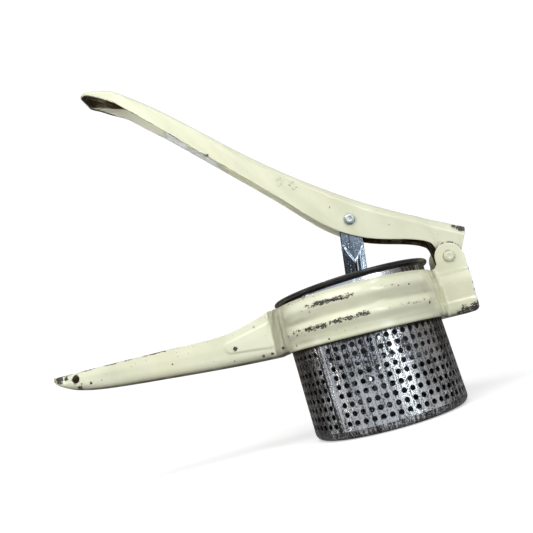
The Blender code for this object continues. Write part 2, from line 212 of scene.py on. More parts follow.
def smooth_max(a, b, blend):
    """The larger of two values, rounded over where they cross."""
    return 0.5 * (a + b + sqrt((a - b) ** 2 + blend * blend))


def bump(value, middle, width):
    """A soft bump of height 1 around middle."""
    return exp(-((value - middle) / width) ** 2)


def ripple(point, size, seed=0.0):
    """Smooth noise, about -1 to 1, with features of the given size."""
    return noise.noise(Vector(point) / size + Vector((seed, 0.3 * seed, -seed)))


def through_stations(stations, spacing):
    """Rows on a smooth curve through all stations, about spacing apart (mm)."""
    rows = []
    last = len(stations) - 1
    for i in range(last):
        p0 = stations[max(i - 1, 0)]
        p1, p2 = stations[i], stations[i + 1]
        p3 = stations[min(i + 2, last)]
        length = hypot(p2[0] - p1[0], p2[1] - p1[1])
        steps = max(2, ceil(length / spacing))
        for k in range(steps):
            t = k / steps
            rows.append([
                0.5 * (2 * b + (c - a) * t + (2 * a - 5 * b + 4 * c - d) * t * t
                       + (3 * b - a - 3 * c + d) * t ** 3)
                for a, b, c, d in zip(p0, p1, p2, p3)])
    rows.append(list(stations[last]))
    return rows


def arc_points(centre, radius, start, end, steps):
    """Points on an arc from start to end degrees."""
    angles = [radians(start + (end - start) * k / steps) for k in range(steps + 1)]
    return [(centre[0] + radius * cos(a), centre[1] + radius * sin(a)) for a in angles]


def lengths_along(columns, place):
    """The length in mm up to each column, along its point at the given place."""
    runs = [0.0]
    for left, right in zip(columns, columns[1:]):
        runs.append(runs[-1] + (Vector(right[place]) - Vector(left[place])).length)
    return runs


def spot_wear(spots, x, z, core, rim):
    """The strongest wear at (x, z) from spots of (x, z, reach, strength), faded from core to rim."""
    wear_and_painted_light = 0.0
    for sx, sz, reach, strength in spots:
        d = hypot(x - sx, z - sz)
        wear_and_painted_light = max(wear_and_painted_light, strength * ramp(rim * reach, core * reach, d))
    return wear_and_painted_light


class Surface:
    """An open or closed surface under construction, with what its material reads.

    skin is a flattened position in mm for grain; the wear field is how chipped the finish is,
    and on tinplate also painted shade and painted highlights; bare is how bright the metal under
    it shows, inner marks the back of the sheet, and the grime field is how brown or dark a place
    has gone, from dirt and from painted shade.
    """

    def __init__(self):
        self.bm = bmesh.new()
        self.skin = self.bm.verts.layers.float_vector.new("skin")
        self.wear_and_painted_light = self.bm.verts.layers.float.new("wear_and_painted_light")
        self.bare = self.bm.verts.layers.float.new("bare")
        self.inner = self.bm.verts.layers.float.new("inner")
        self.grime_and_shade = self.bm.verts.layers.float.new("grime_and_shade")

    def vert(self, point, skin, wear_and_painted_light=0.0, bare=0.0, inner=0.0):
        v = self.bm.verts.new(point)
        v[self.skin] = Vector(skin)
        v[self.wear_and_painted_light] = wear_and_painted_light
        v[self.bare] = bare
        v[self.inner] = inner
        return v

    def copy(self, source, point, inner):
        skin = source[self.skin] + Vector((0.0, 0.0, 7.0 * inner))
        return self.vert(point, skin, source[self.wear_and_painted_light], source[self.bare], inner)

    def face(self, corners):
        if len(set(corners)) > 2:
            self.bm.faces.new(corners)

    def band(self, upper, lower):
        """Quads all round between two closed rings of as many points."""
        count = len(lower)
        for k in range(count):
            n = (k + 1) % count
            self.face((lower[k], lower[n], upper[n], upper[k]))

    def grid(self, columns, describe):
        """Quads over columns of points; describe(column, place in it, point) gives (skin, wear, bare)."""
        made = []
        for number, column in enumerate(columns):
            made.append([None if p is None else self.vert(p, *describe(number, i, Vector(p)))
                         for i, p in enumerate(column)])
        for left, right in zip(made, made[1:]):
            for k in range(len(left) - 1):
                corners = (left[k], right[k], right[k + 1], left[k + 1])
                if all(corners):
                    self.face(corners)

    def punch(self, centre, radius):
        """A round hole across Y at (x, z), its edge drawn to the circle."""
        def offset(co):
            return Vector((co.x - centre[0], 0.0, co.z - centre[1]))
        inside = [f for f in self.bm.faces if offset(f.calc_center_median()).length < radius]
        bmesh.ops.delete(self.bm, geom=inside, context='FACES')
        for v in self.bm.verts:
            if v.is_boundary and offset(v.co).length < 1.5 * radius:
                v.co += offset(v.co).normalized() * radius - offset(v.co)

    def soil_and_shade(self, amount):
        """Sets the grime field of every point, which holds dirt and painted shade, from amount(vertex)."""
        self.bm.normal_update()
        for v in self.bm.verts:
            v[self.grime_and_shade] = amount(v)

    def thicken(self, thickness, rows=3):
        """Gives the open surface its back, with rounded edges of the given rows."""
        bm = self.bm
        bm.normal_update()
        front = list(bm.faces)
        edges = [(e, e.link_faces[0]) for e in bm.edges if len(e.link_faces) == 1]
        outward = {}
        directed = []
        for edge, face in edges:
            loop = next(lp for lp in face.loops if lp.edge == edge)
            a, b = loop.vert, loop.link_loop_next.vert
            out = (b.co - a.co).cross(face.normal).normalized()
            directed.append((a, b))
            for v in (a, b):
                outward[v] = outward.get(v, Vector()) + out
        back = {}
        normals = {v: v.normal.copy() for v in bm.verts}
        for v in list(bm.verts):
            back[v] = self.copy(v, v.co - normals[v] * thickness, 1.0)
        chains = {}
        for v, out in outward.items():
            out = out.normalized()
            chain = [v]
            for k in range(1, rows + 1):
                a = pi * k / (rows + 1)
                depth = 0.5 * thickness * (1.0 - cos(a))
                point = v.co - normals[v] * depth + out * (0.35 * thickness * sin(a))
                chain.append(self.copy(v, point, k / (rows + 1)))
            chain.append(back[v])
            chains[v] = chain
        for face in front:
            self.face([back[v] for v in reversed(face.verts[:])])
        for a, b in directed:
            for k in range(rows + 1):
                ca, cb = chains[a], chains[b]
                self.face((cb[k], ca[k], ca[k + 1], cb[k + 1]))

    def finish(self, name, place, sharp=40.0):
        """The finished object, put in place in metres."""
        self.bm.transform(Matrix.Scale(MM, 4) @ place)
        mesh = bpy.data.meshes.new(name)
        self.bm.to_mesh(mesh)
        self.bm.free()
        mesh.shade_smooth()
        mesh.set_sharp_from_angle(angle=radians(sharp))
        obj = bpy.data.objects.new(name, mesh)
        bpy.context.scene.collection.objects.link(obj)
        return obj


def install(obj, body, slot, mat, *nodes):
    """Puts a finished piece on its body, in place of the CAD nodes it stands for."""
    obj.data.materials.append(mat)
    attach(obj, body)
    if nodes:
        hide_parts(*nodes)


def turned(name, outline, steps, place, along_y=False, wear_and_painted_light=0.0, bare=0.0, sharp=40.0,
           grime_and_shade=0.0):
    """A solid of revolution from a closed outline of (radius, height) points."""
    surface = Surface()
    rings = []
    run = 0.0
    previous = outline[0]
    for r, h in outline:
        run += hypot(r - previous[0], h - previous[1])
        previous = (r, h)
        ring = []
        for k in range(steps if r > 1e-9 else 1):
            a = 2.0 * pi * k / steps
            x, y = r * cos(a), r * sin(a)
            point = (x, h, -y) if along_y else (x, y, h)
            skin = (BASKET_RADIUS * a, run, r)
            ring.append(surface.vert(point, skin, wear_and_painted_light, bare))
        rings.append(ring)
    if outline[0][0] > 1e-9:
        rings.append(rings[0])
    for low, high in zip(rings, rings[1:]):
        for k in range(steps):
            a, b = low[k % len(low)], low[(k + 1) % len(low)]
            c, d = high[(k + 1) % len(high)], high[k % len(high)]
            surface.face(list(dict.fromkeys((a, b, c, d))))
    bmesh.ops.recalc_face_normals(surface.bm, faces=surface.bm.faces)
    surface.soil_and_shade(lambda v: grime_and_shade)
    return surface.finish(name, place, sharp)


# ---------------------------------------------------------------------- nodes

class Nodes:
    """Small helper for building a node tree."""

    def __init__(self, tree):
        self.tree = tree

    def new(self, kind, **settings):
        node = self.tree.nodes.new(kind)
        for key, value in settings.items():
            setattr(node, key, value)
        return node

    def put(self, socket, value):
        """Links or sets a socket, where None leaves it as it is."""
        if isinstance(value, bpy.types.NodeSocket):
            self.tree.links.new(value, socket)
        elif isinstance(value, tuple) and socket.type == 'RGBA':
            socket.default_value = (*value, 1.0)
        elif value is not None:
            socket.default_value = value

    def fill(self, node, *values):
        """Puts values into the node's first sockets and gives its first output."""
        for socket, value in zip(node.inputs, values):
            self.put(socket, value)
        return node.outputs[0]

    def math(self, operation, a, b=None, clamp=False):
        return self.fill(self.new("ShaderNodeMath", operation=operation, use_clamp=clamp), a, b)

    def times(self, a, b):
        return self.math('MULTIPLY', a, b)

    def times_plus(self, a, b, c):
        return self.fill(self.new("ShaderNodeMath", operation='MULTIPLY_ADD'), a, b, c)

    def scale(self, coords, factors):
        return self.fill(self.new("ShaderNodeVectorMath", operation='MULTIPLY'), coords, factors)

    def step(self, value, low, high):
        """Smooth step from 0 at low to 1 at high (low may be above high)."""
        return self.fill(self.new("ShaderNodeMapRange", interpolation_type='SMOOTHSTEP'),
                         value, low, high)

    def mix(self, share, a, b):
        node = self.new("ShaderNodeMix", data_type='RGBA')
        for place, value in ((0, share), (6, a), (7, b)):
            self.put(node.inputs[place], value)
        return node.outputs[2]


class Graph(Nodes):
    """The nodes of one material."""

    def __init__(self, name):
        self.mat = bpy.data.materials.new(name)
        self.mat.use_nodes = True
        super().__init__(self.mat.node_tree)
        self.shader = self.tree.nodes["Principled BSDF"]

    def attributes(self, *names):
        """The fields that the mesh carries: skin as a vector, the others as numbers."""
        return [self.new("ShaderNodeAttribute", attribute_name=name)
                .outputs["Vector" if name == "skin" else "Fac"] for name in names]

    def noise(self, coords, size, detail=3.0, rough=0.55, distort=0.0):
        """Noise, with feature sizes in mm along the three axes of coords."""
        sizes = size if isinstance(size, tuple) else (size, size, size)
        node = self.new("ShaderNodeTexNoise")
        for key, value in (("Vector", self.scale(coords, tuple(1.0 / v for v in sizes))),
                           ("Scale", 1.0), ("Detail", detail), ("Roughness", rough),
                           ("Distortion", distort)):
            self.put(node.inputs[key], value)
        return node.outputs["Fac"]

    def cells(self, coords, size):
        """Distance to scattered points about size mm apart, as a share of that size."""
        node = self.new("ShaderNodeTexVoronoi", feature='F1')
        self.put(node.inputs["Vector"], self.scale(coords, (1.0 / size,) * 3))
        node.inputs["Scale"].default_value = 1.0
        return node.outputs["Distance"]

    def blend(self, share, a, b):
        node = self.new("ShaderNodeMix", data_type='FLOAT')
        for place, value in ((0, share), (2, a), (3, b)):
            self.put(node.inputs[place], value)
        return node.outputs[0]

    def bumps(self, *layers):
        """Bump layers of (height, distance in mm), one on another."""
        normal = None
        for height, distance in layers:
            node = self.new("ShaderNodeBump")
            node.inputs["Distance"].default_value = distance * MM
            self.put(node.inputs["Height"], height)
            self.put(node.inputs["Normal"], normal)
            normal = node.outputs["Normal"]
        self.put(self.shader.inputs["Normal"], normal)

    def set(self, **values):
        for key, value in values.items():
            self.put(self.shader.inputs[key.replace("_", " ")], value)


def enamel_material(name):
    """Old cream stove enamel: faint unevenness, specks, and chips down to dark steel; paler on the back of
    the sheet as painted light, and brown where stains and painted shade lie.
    """
    g = Graph(name)
    skin, wear_and_painted_light, bare, inner, grime_and_shade = g.attributes("skin", "wear_and_painted_light", "bare", "inner", "grime_and_shade")

    coarse = g.noise(skin, (2.6, 1.3, 1.3), 4.0, 0.68, 0.5)
    fine = g.noise(skin, (0.8, 0.45, 0.45), 2.0, 0.6)
    grain = g.times_plus(coarse, 0.68, g.times(fine, 0.32))
    level = g.times_plus(wear_and_painted_light, -0.42, 0.735)
    chip = g.step(grain, level, g.math('ADD', level, 0.022))
    halo = g.step(grain, g.math('SUBTRACT', level, 0.035), level)

    patches = g.noise(skin, 26.0, 3.0, 0.5)
    shade = g.step(patches, 0.35, 0.68)
    cream = g.mix(shade, (0.725, 0.740, 0.545), (0.80, 0.815, 0.625))
    yellow = g.step(g.noise(skin, 55.0, 2.0, 0.5), 0.52, 0.75)
    cream = g.mix(g.times(yellow, 0.35), cream, (0.76, 0.70, 0.44))

    speck_place = g.cells(skin, 3.4)
    speck_size = g.times(g.step(g.noise(skin, 9.0, 2.0, 0.6), 0.40, 0.64), 0.12)
    speck = g.step(speck_place, speck_size, g.times(speck_size, 0.4))
    speck = g.times(speck, 0.75)
    cream = g.mix(speck, cream, (0.20, 0.17, 0.12))
    scuff_lines = g.noise(skin, (5.0, 0.35, 0.35), 3.0, 0.7, 0.6)
    scuff = g.times(g.step(scuff_lines, 0.66, 0.72),
                   g.times_plus(wear_and_painted_light, 0.9, 0.12))
    cream = g.mix(g.times(scuff, 0.45), cream, (0.42, 0.40, 0.33))
    cream = g.mix(g.times(halo, 0.35), cream, (0.45, 0.36, 0.20))
    # Painted light: the back of the sheet is made paler, standing in for light that does not reach into
    # the channels.
    cream = g.mix(g.times(inner, 0.5), cream, (0.86, 0.85, 0.70))
    # Brown from the grime field: real stains, and painted shade where that field holds it.
    stain_and_shade = g.step(g.noise(skin, (9.0, 4.0, 4.0), 4.0, 0.6), 0.25, 0.62)
    stain_and_shade = g.math('MULTIPLY', grime_and_shade, g.times_plus(stain_and_shade, 0.25, 0.80), clamp=True)
    cream = g.mix(stain_and_shade, cream, (0.050, 0.030, 0.010))

    steel_grain = g.noise(skin, (1.6, 0.5, 0.5), 4.0, 0.7)
    dark = g.mix(g.step(steel_grain, 0.35, 0.7), (0.026, 0.023, 0.020), (0.14, 0.135, 0.125))
    bright = g.mix(g.step(steel_grain, 0.34, 0.50), (0.66, 0.67, 0.62), (0.97, 1.0, 1.0))
    metal = g.mix(bare, dark, bright)

    g.set(Base_Color=g.mix(chip, cream, metal),
          Metallic=g.times(chip, g.blend(bare, 0.55, 0.20)),
          Roughness=g.blend(g.math('MAXIMUM', chip, stain_and_shade),
                            g.times_plus(patches, 0.14, 0.09), 0.5))
    g.set(Specular_IOR_Level=g.times_plus(stain_and_shade, -0.45, 0.5))
    peel = g.noise(skin, 2.6, 2.0, 0.5)
    g.bumps((peel, 0.02), (fine, 0.008), (scuff, -0.01), (g.math('SUBTRACT', 1.0, chip), 0.09),
            (g.math('SUBTRACT', 1.0, speck), 0.05))
    return g.mat


def tin_material(name, dark, light, tint, rough):
    """Old tinplate: streaked and mottled, dull where the tin has worn and brown in places; the wear field
    also darkens it as painted shade and brightens it as a painted highlight where negative, and the grime
    field turns it near black for dirt and painted shade.
    """
    g = Graph(name)
    skin, wear_and_painted_light, grime_and_shade = g.attributes("skin", "wear_and_painted_light", "grime_and_shade")

    streak = g.noise(skin, (1.4, 18.0, 2.0), 4.0, 0.62, 0.25)
    mottle = g.noise(skin, (0.8, 1.25, 0.9), 5.0, 0.70, 0.5)
    broad = g.noise(skin, (16.0, 24.0, 9.0), 2.0, 0.5)
    grain = g.noise(skin, (0.45, 0.7, 0.45), 2.0, 0.7)
    tone = g.times_plus(streak, 0.30, g.times(mottle, 0.36))
    tone = g.math('ADD', tone, g.times_plus(broad, 0.16, g.times(grain, 0.22)))
    # The wear field darkens for wear and painted shade, and brightens where negative, a painted highlight.
    tone = g.math('SUBTRACT', tone, g.times(wear_and_painted_light, 0.12))
    body = g.step(tone, 0.46, 0.57)
    colour = g.mix(body, dark, light)
    flecks = g.step(g.noise(skin, (0.55, 1.2, 0.6), 3.0, 0.75), 0.60, 0.68)
    colour = g.mix(g.times(flecks, 0.60), colour, (0.88, 0.90, 0.92))
    rust = g.step(g.noise(skin, (7.0, 10.0, 7.0), 4.0, 0.65), 0.50, 0.72)
    rust = g.times(rust, g.times_plus(wear_and_painted_light, 0.8, 0.22))
    colour = g.mix(g.times(rust, tint), colour, (0.22, 0.14, 0.085))
    pit_size = g.times(g.step(mottle, 0.48, 0.70), 0.16)
    pits = g.step(g.cells(skin, 1.9), pit_size, g.times(pit_size, 0.3))
    colour = g.mix(g.times(pits, 0.7), colour, (0.045, 0.043, 0.042))
    # Near black where the grime field holds dirt and painted shade.
    colour = g.mix(g.times(grime_and_shade, 0.93), colour, (0.020, 0.016, 0.012))

    g.set(Base_Color=colour,
          Metallic=g.times_plus(rust, -0.35, 1.0),
          Roughness=g.blend(body, rough[1], rough[0]))
    g.bumps((streak, 0.05), (mottle, 0.035), (flecks, 0.012))
    return g.mat


def plain_steel_material(name, colour, other, metallic, rough):
    """Turned or rolled steel with fine grain, lengthwise lines and grime."""
    g = Graph(name)
    skin = g.attributes("skin")[0]
    lines = g.noise(skin, (30.0, 0.35, 0.5), 3.0, 0.6)
    blots = g.noise(skin, (5.0, 1.2, 1.5), 4.0, 0.65)
    tone = g.times_plus(lines, 0.45, g.times(blots, 0.55))
    share = g.step(tone, 0.36, 0.66)
    g.set(Base_Color=g.mix(share, colour, other), Metallic=metallic,
          Roughness=g.blend(share, rough[1], rough[0]))
    g.bumps((lines, 0.02), (blots, 0.03))
    return g.mat


def cad_steel_material(name):
    """Steel for small pieces that keep their own mesh."""
    g = Graph(name)
    skin = g.scale(g.new("ShaderNodeTexCoord").outputs["Object"], (1.0 / MM,) * 3)
    blots = g.noise(skin, 1.6, 4.0, 0.65)
    fine = g.noise(skin, 0.4, 2.0, 0.6)
    share = g.step(g.times_plus(blots, 0.7, g.times(fine, 0.3)), 0.35, 0.65)
    g.set(Base_Color=g.mix(share, (0.22, 0.22, 0.22), (0.62, 0.64, 0.64)), Metallic=1.0,
          Roughness=g.blend(share, 0.5, 0.3))
    g.bumps((blots, 0.04))
    return g.mat


# ---------------------------------------------------------------- lower frame

def crest(z):
    """How far the two pressed rings stand out at height z of the collar."""
    total = 0.0
    for middle, half in CRESTS:
        if abs(z - middle) < half:
            total += CREST_HEIGHT * cos(0.5 * pi * (z - middle) / half) ** 2
    return total


# Raised tongue on each flank of the lower handle: x, z and radius of its two ends, in mm
TONGUE = ((-81.6, -2.8, 3.8), (-54.0, -1.1, 8.0))
TONGUE_RISE = 0.85
TONGUE_END = (-54.6, -57.0)
WELD_SPOTS = ((40.3, 10.0), (39.3, -11.7))
WELD_RADIUS = 2.2


def tongue_depth(x, z):
    """Distance in mm inside the raised tongue, negative outside it."""
    (x0, z0, r0), (x1, z1, r1) = TONGUE
    length = hypot(x1 - x0, z1 - z0)
    ux, uz = (x1 - x0) / length, (z1 - z0) / length
    dx, dz = x - x0, z - z0
    along = max(dx * ux + dz * uz, 0.0)
    away = hypot(dx - along * ux, dz - along * uz)
    return r0 + (r1 - r0) * along / length - away


def handle_fold(x, z):
    """Upright folds, in mm, where the collar's rings run into the lower handle."""
    first = -54.6 + 0.0145 * max(z + 2.5, 0.0) ** 2
    relief = 1.25 * bump(x, first, 0.60) - 0.85 * bump(x, first - 1.7, 0.8)
    relief -= 1.00 * bump(x, -51.6, 0.8) * ramp(10.0, 6.0, z)
    relief += 1.25 * bump(x, -49.6, 0.60) * ramp(12.0, 8.0, z)
    return relief * ramp(-14.0, -9.0, z)


def cheek_fold(x, z):
    """The upright rib, in mm, where the collar runs into the cheek."""
    rib = 51.4 - 0.0066 * (z + 4.0) ** 2
    return 1.35 * bump(x, rib, 0.65) - 0.95 * bump(x, rib - 2.0, 0.8)


def panel_rise(x, z):
    """The rings' panel, in mm, which ends in a step before the cheek; with its weld marks."""
    end = 42.3 + 0.275 * (8.0 - z)
    rise = 0.85 * ramp(35.0, 40.0, x) * ramp(end + 0.6, end - 0.5, x)
    rise *= ramp(13.5, 11.5, z) * ramp(-14.0, -12.0, z)
    for wx, wz in WELD_SPOTS:
        d = hypot((x - wx) * 1.7, z - wz)
        rise -= 0.28 * bump(d, WELD_RADIUS, 0.55)
    return rise


def frame_flank(x, z, handle_half):
    """Half width of the frame at (x, z): the collar, run smoothly into the handle or a cheek."""
    ends = CREST_END_LEFT if x < 0.0 else CREST_END_RIGHT
    reach = COLLAR_RADIUS + crest(z) * (1.0 - ramp(*ends, abs(x)))
    if x > 0.0:
        reach += panel_rise(x, z)
    collar = sqrt(max(reach * reach - x * x, 0.0))
    if x < 0.0:
        side = handle_half
    else:
        foot = CHEEK_FOOT * (1.0 - ramp(*CHEEK_STEP, z))
        side = CHEEK_HALF_WIDTH + foot * (1.0 + 0.3 * bump(z, -11.4, 2.6))
        side -= (CHEEK_HALF_WIDTH - EAR_HALF_WIDTH) * ramp(*CHEEK_TAPER, z)
        side -= EAR_STEP_RISE * ramp(*EAR_STEP[::-1], z)
        side += 0.22 * bump(z, EAR_STEP[1] + 0.1, 0.5)
    y = smooth_max(collar, side, COLLAR_BLEND)
    if x < FOLDS[0]:
        y += handle_fold(x, z)
        fade = ramp(*TONGUE_END, x)
        y += TONGUE_RISE * ramp(-0.7, 0.8, tongue_depth(x, z)) * fade
    elif x > FOLDS[1]:
        y += cheek_fold(x, z)
    return y


def hinge_end(x, z):
    """x drawn in near the hinge end, which leans towards its foot and rounds its corner."""
    start = EAR_CENTRE[0]
    if x <= start:
        return x
    limit = HINGE_END - HINGE_END_LEAN * ramp(10.0, CHEEK_BOTTOM, z)
    drop = min(max(CHEEK_BOTTOM + HINGE_CORNER - z, 0.0), HINGE_CORNER)
    limit -= HINGE_CORNER - sqrt(HINGE_CORNER ** 2 - drop ** 2)
    return start + (x - start) * (limit - start) / (HINGE_END - start)


def frame_top(x):
    """Height of the collar's and the cheek's upper edge, with the fillet and the round ear."""
    fillet_start = EAR_CENTRE[0] - EAR_RADIUS - EAR_FILLET
    if x <= fillet_start:
        return COLLAR_TOP
    if x < EAR_CENTRE[0] - EAR_RADIUS:
        return COLLAR_TOP + EAR_FILLET - sqrt(EAR_FILLET ** 2 - (x - fillet_start) ** 2)
    return EAR_CENTRE[1] + sqrt(max(EAR_RADIUS ** 2 - (x - EAR_CENTRE[0]) ** 2, 0.0))


def frame_stations():
    """(x, top, bottom, handle half width) along the frame, tip to hinge."""
    stations = through_stations(LOWER_HANDLE, 0.8)
    _, top, bottom, half = stations[-1]
    for k in range(1, 12):
        x = COLLAR_FADE[0] + k * STATION_STEP
        share = ramp(*COLLAR_FADE, x)
        stations.append([x, top + (COLLAR_TOP - top) * share,
                         bottom + (COLLAR_BOTTOM - bottom) * share, half])
    for angle in COLLAR_STEPS:
        stations.append([COLLAR_RADIUS * cos(radians(angle)), COLLAR_TOP, COLLAR_BOTTOM, half])
    spots = [CHEEK_START + STATION_STEP * k for k in range(10)]
    fillet_start = EAR_CENTRE[0] - EAR_RADIUS - EAR_FILLET
    spots += [fillet_start + EAR_FILLET * sin(radians(a)) for a in range(60, 90, 6)]
    spots += [EAR_CENTRE[0] - EAR_RADIUS * cos(radians(a)) for a in range(2, 90, 5)]
    spots += [EAR_CENTRE[0] + EAR_RADIUS * sin(radians(a)) for a in range(2, 76, 5)]
    spots.append(HINGE_END)
    for x in sorted(set(spots)):
        if x <= stations[-1][0] + 0.05:
            continue
        bottom = COLLAR_BOTTOM + (CHEEK_BOTTOM - COLLAR_BOTTOM) * ramp(*CHEEK_BOTTOM_FADE, x)
        stations.append([x, frame_top(x), bottom, CHEEK_HALF_WIDTH])
    return stations


FLANK_ROWS = 42
CORNER_ROWS = 7
WEB_ROWS = 7


def frame_column(x, top, bottom, half):
    """One cross-section at x, from the middle of the web round the corner and up the flank."""
    away = ramp(*CORNER_FADE, abs(x))
    radius = CORNER_RADIUS
    if x <= 0.0:
        radius = min(HANDLE_CORNER_RADIUS, 0.6 * half, 0.45 * (top - bottom))
    corner_height = COLLAR_BAND + (radius - COLLAR_BAND) * away
    corner = []
    for k in range(CORNER_ROWS):
        a = 0.5 * pi * k / (CORNER_ROWS - 1)
        rise = (1.0 - away) * k / (CORNER_ROWS - 1) + away * (1.0 - cos(a))
        z = bottom + corner_height * rise
        y = frame_flank(x, z, half) - away * radius * (1.0 - sin(a))
        corner.append((x, y, z))
    start = bottom + corner_height
    flank = []
    loose = ramp(*TOP_PULL_FADE, x)
    for k in range(1, FLANK_ROWS + 1):
        share = k / FLANK_ROWS
        z = start + (top - start) * share
        pull = HANDLE_TOP_PULL * loose * min(1.0, half / TOP_PULL_WIDTH) * ramp(0.35, 1.1, share)
        flank.append((x, frame_flank(x, z, half - pull), z))
    if abs(x) < WEB_BLEND[0]:
        return [None] * WEB_ROWS + corner + flank
    web = [(x, corner[0][1] * k / WEB_ROWS, bottom) for k in range(WEB_ROWS)]
    if abs(x) < WEB_BLEND[1]:
        share = (abs(x) - WEB_BLEND[0]) / (WEB_BLEND[1] - WEB_BLEND[0])
        hole = [sqrt(WEB_HOLE_RADIUS ** 2 - y * y) for _, y, _ in web]
        web = [(copysign(hx + (WEB_BLEND[1] - hx) * share, x), y, z)
               for hx, (_, y, z) in zip(hole, web)]
    return [(hinge_end(px, pz), y, pz) for px, y, pz in web + corner + flank]


def both_sides(column):
    """The column mirrored to the near side, as one run across the middle."""
    far = list(reversed(column[1:]))
    near = [None if p is None else (p[0], -p[1], p[2]) for p in column]
    return far + near


# Where the enamel of the lower frame is chipped: x, z, reach and strength, in mm
FRAME_SPOTS = (
    (-79.2, -4.3, 1.7, 0.95), (-196.0, 3.4, 3.5, 0.95), (-183.6, 1.0, 3.6, 0.66),
    (-179.9, -2.6, 0.9, 0.9), (-173.7, -3.4, 1.2, 0.9), (-166.1, -3.6, 0.9, 0.9),
    (-81.5, -11.2, 0.9, 0.9), (-63.2, -12.5, 1.3, 0.9), (-190.5, 2.9, 1.6, 1.0),
    (-182.0, -5.4, 2.4, 0.75), (-57.5, -12.6, 1.3, 0.85), (-50.5, -11.0, 1.3, 0.85),
    (67.0, -13.8, 3.8, 0.80), (61.0, -14.4, 4.0, 0.70), (57.0, -15.0, 2.4, 0.60),
    (69.4, -11.0, 1.6, 0.75), (70.2, 9.5, 1.0, 0.75), (70.2, 1.0, 1.2, 0.75),
    (70.0, -3.5, 1.2, 0.75), (-191.0, 3.6, 3.2, 0.50), (-199.6, 4.0, 2.0, 0.65),
    (-65.0, 6.0, 1.2, 0.60), (-120.0, -4.0, 1.0, 0.60), (-146.0, 0.0, 1.0, 0.55),
)
# Worn stretches of the two rings: z, first and last angle, strength
CREST_WEAR = (
    (7.4, -38.0, -3.0, 0.62), (7.6, -31.0, -11.0, 0.78), (7.6, 8.0, 24.0, 0.42),
    (-4.6, -55.0, 4.0, 0.55), (-4.8, -42.0, -24.0, 0.78), (-4.4, -20.0, 2.0, 0.72),
    (-4.4, 14.0, 64.0, 0.40), (12.9, -60.0, -20.0, 0.38),
)
# Single nicks on the collar: place along it from the front, z, reach and strength, in mm
MM_PER_DEGREE = 0.86
COLLAR_NICKS = (
    (-53.32, -5.2, 1.2, 1.0), (-49.45, -11.7, 0.9, 0.95), (-43.26, -6.4, 0.9, 1.0),
    (-41.11, -4.4, 0.9, 1.0), (21.5, 6.6, 0.8, 0.9), (28.38, 6.2, 0.8, 0.9),
    (-23.22, -12.6, 0.8, 0.9), (40.42, -6.0, 0.8, 0.8), (-30.1, 4.6, 0.9, 0.85),
    (-34.83, 6.2, 0.9, 0.9), (49.88, -7.0, 0.7, 0.8), (10.32, -11.0, 0.7, 0.75),
    (-10.32, 2.0, 0.7, 0.75),
)


def frame_wear(p):
    """How chipped the enamel is: spots, the handle's upper edge, the rings and the nicks."""
    x, y, z = p.x, p.y, p.z
    wear_and_painted_light = spot_wear(FRAME_SPOTS, x, z, 0.35, 1.5)
    if x < -60.0:
        top = 5.2 + 2.6 * ramp(-90.0, -72.0, x)
        patch = 0.58 + 0.40 * ripple((x, 0.0, 0.0), 9.0, 3.0)
        patch *= 1.0 - 0.6 * ramp(-130.0, -95.0, x)
        wear_and_painted_light = max(wear_and_painted_light, patch * ramp(1.7, 0.1, abs(z - top)))
    elif abs(x) < 49.0:
        a = degrees(atan2(x, abs(y)))
        for cz, first, last, strength in CREST_WEAR:
            along = ramp(first - 2.5, first + 1.5, a) * ramp(last + 2.5, last - 1.5, a)
            wear_and_painted_light = max(wear_and_painted_light, strength * along * bump(z, cz, 2.1))
        nicks = spot_wear(COLLAR_NICKS, a * MM_PER_DEGREE, z, 0.3, 1.3)
        wear_and_painted_light = max(wear_and_painted_light, nicks, 0.34 * ramp(0.9, 0.0, COLLAR_TOP - z))
    return wear_and_painted_light


def frame_grime_and_shade(v, inner):
    """Painted shade and dirt: painted shade underneath, on the back of the sheet, towards the handle's
    lower edge, along the collar's lower edge, in the troughs of the rings, at the folds and over the
    collar's left end; dark sheet edges, a real stain on the handle and dirt round the rivet.
    """
    x, z = v.co.x, v.co.z
    # Painted shade on faces turned downwards; the sheet's cut edges are dark.
    amount = 0.88 * ramp(-0.60, -0.90, v.normal.z) * (1.0 - inner)
    amount = max(amount, 0.60 * bump(inner, 0.5, 0.25))
    # Painted shade over the back of the sheet, most inside the handle's tip.
    if inner > 0.9:
        amount = max(0.45 - 0.25 * ramp(50.0, 54.0, x), 0.95 * ramp(-150.0, -176.0, x))
    elif x < -58.0:
        # Painted shade towards the handle's lower edge, and a real warm stain.
        bottom = -14.4 + 12.0 * ramp(-140.0, -202.0, x)
        amount = max(amount, 0.42 * ramp(bottom + 4.0, bottom - 0.5, z))
        amount = max(amount, 0.15 * bump(x, -161.0, 9.0) * bump(z, 0.0, 5.0))
    elif abs(x) < 50.0:
        # Painted shade along the collar's lower edge, in the troughs of the rings and in the folds.
        amount = max(amount, 0.55 * ramp(-13.2, -14.4, z))
        valley_shade = 0.20 + 0.24 * ramp(-14.0, -40.0, x)
        valley_shade *= max(bump(z, 1.1, 1.5), 0.8 * bump(z, -10.6, 1.3), 0.6 * bump(z, 13.4, 1.0))
        amount = max(amount, valley_shade, 0.40 * bump(x, -51.6, 1.0), 0.22 * bump(x, 48.9, 1.2))
    # Painted shade over the collar's left end.
    if x < -30.0:
        edge = -55.2 + 0.6 * ripple((x, 0.0, z), 6.0, 2.0)
        shaded = ramp(edge - 0.4, edge + 0.4, x) * ramp(-36.0, -50.0, x)
        amount = max(amount, 0.40 * shaded)
    rivet_ring = hypot(x - EAR_CENTRE[0], z - EAR_CENTRE[1])
    return max(amount, 0.80 * bump(rivet_ring, PIVOT_HEAD + 0.15, 0.35))


